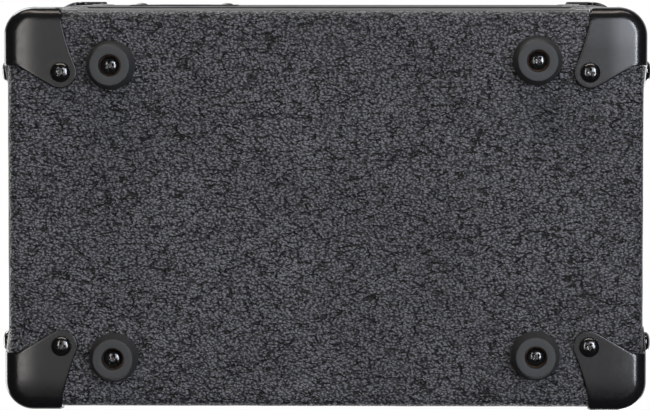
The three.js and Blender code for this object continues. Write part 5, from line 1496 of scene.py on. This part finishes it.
class AMP_OT_inlet(bpy.types.Operator):
    """Mould the mains inlet with its flange, recess and three contacts"""
    bl_idname = "amplifier.inlet"
    bl_label = "Mains Inlet"

    body_half = (13.7 * MM, 10.0 * MM)
    wall, flange, recess = 1.5 * MM, 0.5 * MM, 18 * MM

    def execute(self, context):
        low, high = corner("mains_inlet", 0), corner("mains_inlet", 1)
        middle = (low + high) / 2
        half_w, half_h = self.body_half
        x, z, face = middle[0], middle[2], REAR_FACE + self.flange
        form = block(bmesh.new(), (low[0], REAR_FACE + 0.02 * MM, low[2]), (high[0], face, high[2]), 0.2 * MM, 2)
        shell = from_bmesh("inlet_body", form, FINISH["plastic"], sharp=30)
        housing = block(bmesh.new(), (x - half_w, low[1], z - half_h),
                        (x + half_w, face - 0.2 * MM, z + half_h), 1 * MM)
        carve(shell, from_bmesh("housing", housing, FINISH["plastic"]), "UNION")
        hollow = block(bmesh.new(), (x - half_w + self.wall, face - self.recess, z - half_h + self.wall),
                       (x + half_w - self.wall, face + 5 * MM, z + half_h - self.wall), 2 * MM)
        carve(shell, from_bmesh("hollow", hollow, FINISH["plastic"]))
        shell.data.shade_smooth()
        shell.data.set_sharp_from_angle(angle=math.radians(30))
        seat(shell, "cabinet", "plastic", "mains_inlet")
        pins = bmesh.new()
        for i, lift in ((-1, -2), (0, 2), (1, -2)):
            at = Vector((x + i * 7 * MM, 0, z + lift * MM))
            block(pins, at + Vector((-1 * MM, face - self.recess - 1 * MM, -2 * MM)),
                  at + Vector((1 * MM, face - 4 * MM, 2 * MM)), 0.3 * MM)
        seat(from_bmesh("inlet_contacts", pins, FINISH["brass"], sharp=30), "cabinet", "plastic")
        head = screw_head("head", 2.8 * MM, 1.3 * MM, 3.0 * MM, FINISH["enamel"])
        places = [((x + i * 20 * MM, face - 0.5 * MM, z), (0, 1, 0), 0.4 + i) for i in (-1, 1)]
        seat(copies("inlet_screws", head, places, FINISH["enamel"]), "cabinet", "screw")
        return {"FINISHED"}


class AMP_OT_circuit(bpy.types.Operator):
    """Solder small parts over the circuit board"""
    bl_idname = "amplifier.circuit"
    bl_label = "Circuit Parts"

    def execute(self, context):
        low, high = corner("circuit_board", 0), corner("circuit_board", 1)
        rng = np.random.default_rng(context.scene.amplifier_sizes.seed)
        kept = [(corner(n, 0), corner(n, 1)) for n in (
            "filter_capacitor_1", "filter_capacitor_2", "transformer_core", "transformer_winding", "heat_sink",
            "power_switch_body", "channel_switch_body", "input_jack", "phones_jack",
            *(k + "_potentiometer" for k in KNOBS))]
        gap = 4 * MM
        spots = []
        for x in np.arange(low[0] + 8 * MM, high[0] - 8 * MM, 9 * MM):
            for y in np.arange(low[1] + 6 * MM, high[1] - 6 * MM, 7 * MM):
                spot = np.array((x, y)) + rng.uniform(-1, 1, 2) * 1.2 * MM
                if all(np.any(spot < a[:2] - gap) or np.any(spot > b[:2] + gap) for a, b in kept):
                    spots.append((spot[0], spot[1], high[2]))
        resistor = bmesh.new()
        turned(resistor, [(0, -3.2 * MM), (0.9 * MM, -3.1 * MM), (1.2 * MM, -2.5 * MM), (0.95 * MM, -1.7 * MM),
                          (0.95 * MM, 1.7 * MM), (1.2 * MM, 2.5 * MM), (0.9 * MM, 3.1 * MM), (0, 3.2 * MM)],
               along="Z", steps=14)
        lying = [(Vector(s) + Vector((0, 0, 1.3 * MM)), (1, 0, 0), 0.0) for s in spots[::2]]
        body = from_bmesh("resistor", resistor, FINISH["component"])
        made = copies("resistors", body, lying, FINISH["component"])
        seat(made, "cabinet", "circuit")
        can = bmesh.new()
        turned(can, [(0, 0), (2.4 * MM, 0), (2.4 * MM, 0.6 * MM), (2.15 * MM, 0.9 * MM), (2.4 * MM, 1.2 * MM),
                     (2.4 * MM, 6.6 * MM), (2.1 * MM, 7.0 * MM), (0, 7.0 * MM)], along="Z", steps=20)
        standing = [(s, (0, 0, 1), 0.0) for s in spots[1::4]]
        made = copies("small_capacitors", from_bmesh("can", can, FINISH["sleeve"]), standing, FINISH["sleeve"])
        seat(made, "cabinet", "capacitor")
        return {"FINISHED"}


# The finish of every frame node that keeps its own shape.
KEPT_FINISHES = {
    "top_panel": "board", "bottom_panel": "board", "left_panel": "board", "right_panel": "board",
    "baffle_board": "black_board", "rear_board_upper": "black_board", "rear_board_lower": "black_board",
    "control_strip": "strip", "chassis": "steel", "circuit_board": "circuit",
    "filter_capacitor_1": "sleeve", "filter_capacitor_2": "sleeve",
    "gain_potentiometer": "steel", "volume_potentiometer": "steel", "bass_potentiometer": "steel",
    "treble_potentiometer": "steel", "input_jack": "plastic", "phones_jack": "plastic",
    "channel_button": "knob", "channel_switch_body": "plastic", "power_switch_body": "plastic",
    "power_rocker": "knob", "transformer_core": "core", "transformer_winding": "winding",
    "heat_sink": "aluminium", "speaker_magnet": "magnet",
    "speaker_back_plate": "steel", "handle_end_cap_left": "cap", "handle_end_cap_right": "cap",
}
# How far a bevel softens the edges of kept shapes, in millimetres.
SOFTENED = {
    "rear_board_upper": 0.8, "rear_board_lower": 0.8, "channel_button": 0.5, "power_rocker": 0.7,
    "transformer_core": 0.4, "heat_sink": 0.25, "chassis": 0.3, "control_strip": 0.25,
    "channel_switch_body": 0.4, "power_switch_body": 0.4, "baffle_board": 0.4, "handle_end_cap_left": 0.4,
    "handle_end_cap_right": 0.4, "transformer_winding": 0.8,
}


class AMP_OT_kept_shapes(bpy.types.Operator):
    """Finish the frame's own shapes and soften their edges"""
    bl_idname = "amplifier.kept_shapes"
    bl_label = "Panels and Inner Parts"

    def execute(self, context):
        for name, finish in KEPT_FINISHES.items():
            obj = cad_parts[name]
            for slot in obj.material_slots:
                slot.material = FINISH[finish]
            if name in SOFTENED:
                weld = obj.modifiers.new("weld", "WELD")
                weld.merge_threshold = 0.001 * MM
                bevel = obj.modifiers.new("soft_edges", "BEVEL")
                bevel.width, bevel.segments = SOFTENED[name] * MM, 2
                bevel.limit_method, bevel.angle_limit = "ANGLE", math.radians(50)
                bevel.harden_normals = False
        return {"FINISHED"}


# ---- add-on ----

OPERATORS = (
    AMP_OT_camera, AMP_OT_covering, AMP_OT_corner_caps, AMP_OT_cap_screws, AMP_OT_feet, AMP_OT_grille,
    AMP_OT_dials, AMP_OT_knobs, AMP_OT_controls, AMP_OT_speaker, AMP_OT_handle, AMP_OT_rear, AMP_OT_inlet,
    AMP_OT_circuit, AMP_OT_kept_shapes, AMP_OT_stage)


class AMP_PT_panel(bpy.types.Panel):
    bl_idname = "AMP_PT_panel"
    bl_label = "Practice Amplifier"
    bl_space_type = "VIEW_3D"
    bl_region_type = "UI"
    bl_category = "Amplifier"

    def draw(self, context):
        for group in (context.scene.amplifier_sizes, context.scene.amplifier_colours):
            box = self.layout.box()
            for name in group.bl_rna.properties.keys():
                if name not in ("rna_type", "name"):
                    box.prop(group, name)
        for operator in OPERATORS:
            self.layout.operator(operator.bl_idname)


CLASSES = (AmplifierSizes, AmplifierColours, *OPERATORS, AMP_PT_panel)
FINISH = {}


def register():
    for cls in CLASSES:
        bpy.utils.register_class(cls)
    bpy.types.Scene.amplifier_sizes = bpy.props.PointerProperty(type=AmplifierSizes)
    bpy.types.Scene.amplifier_colours = bpy.props.PointerProperty(type=AmplifierColours)


def unregister():
    del bpy.types.Scene.amplifier_sizes
    del bpy.types.Scene.amplifier_colours
    for cls in reversed(CLASSES):
        bpy.utils.unregister_class(cls)


def main():
    register()
    FINISH.update(make_finishes())
    for operator in OPERATORS:
        group, name = operator.bl_idname.split(".")
        getattr(getattr(bpy.ops, group), name)()


if __name__ == "__main__":
    main()
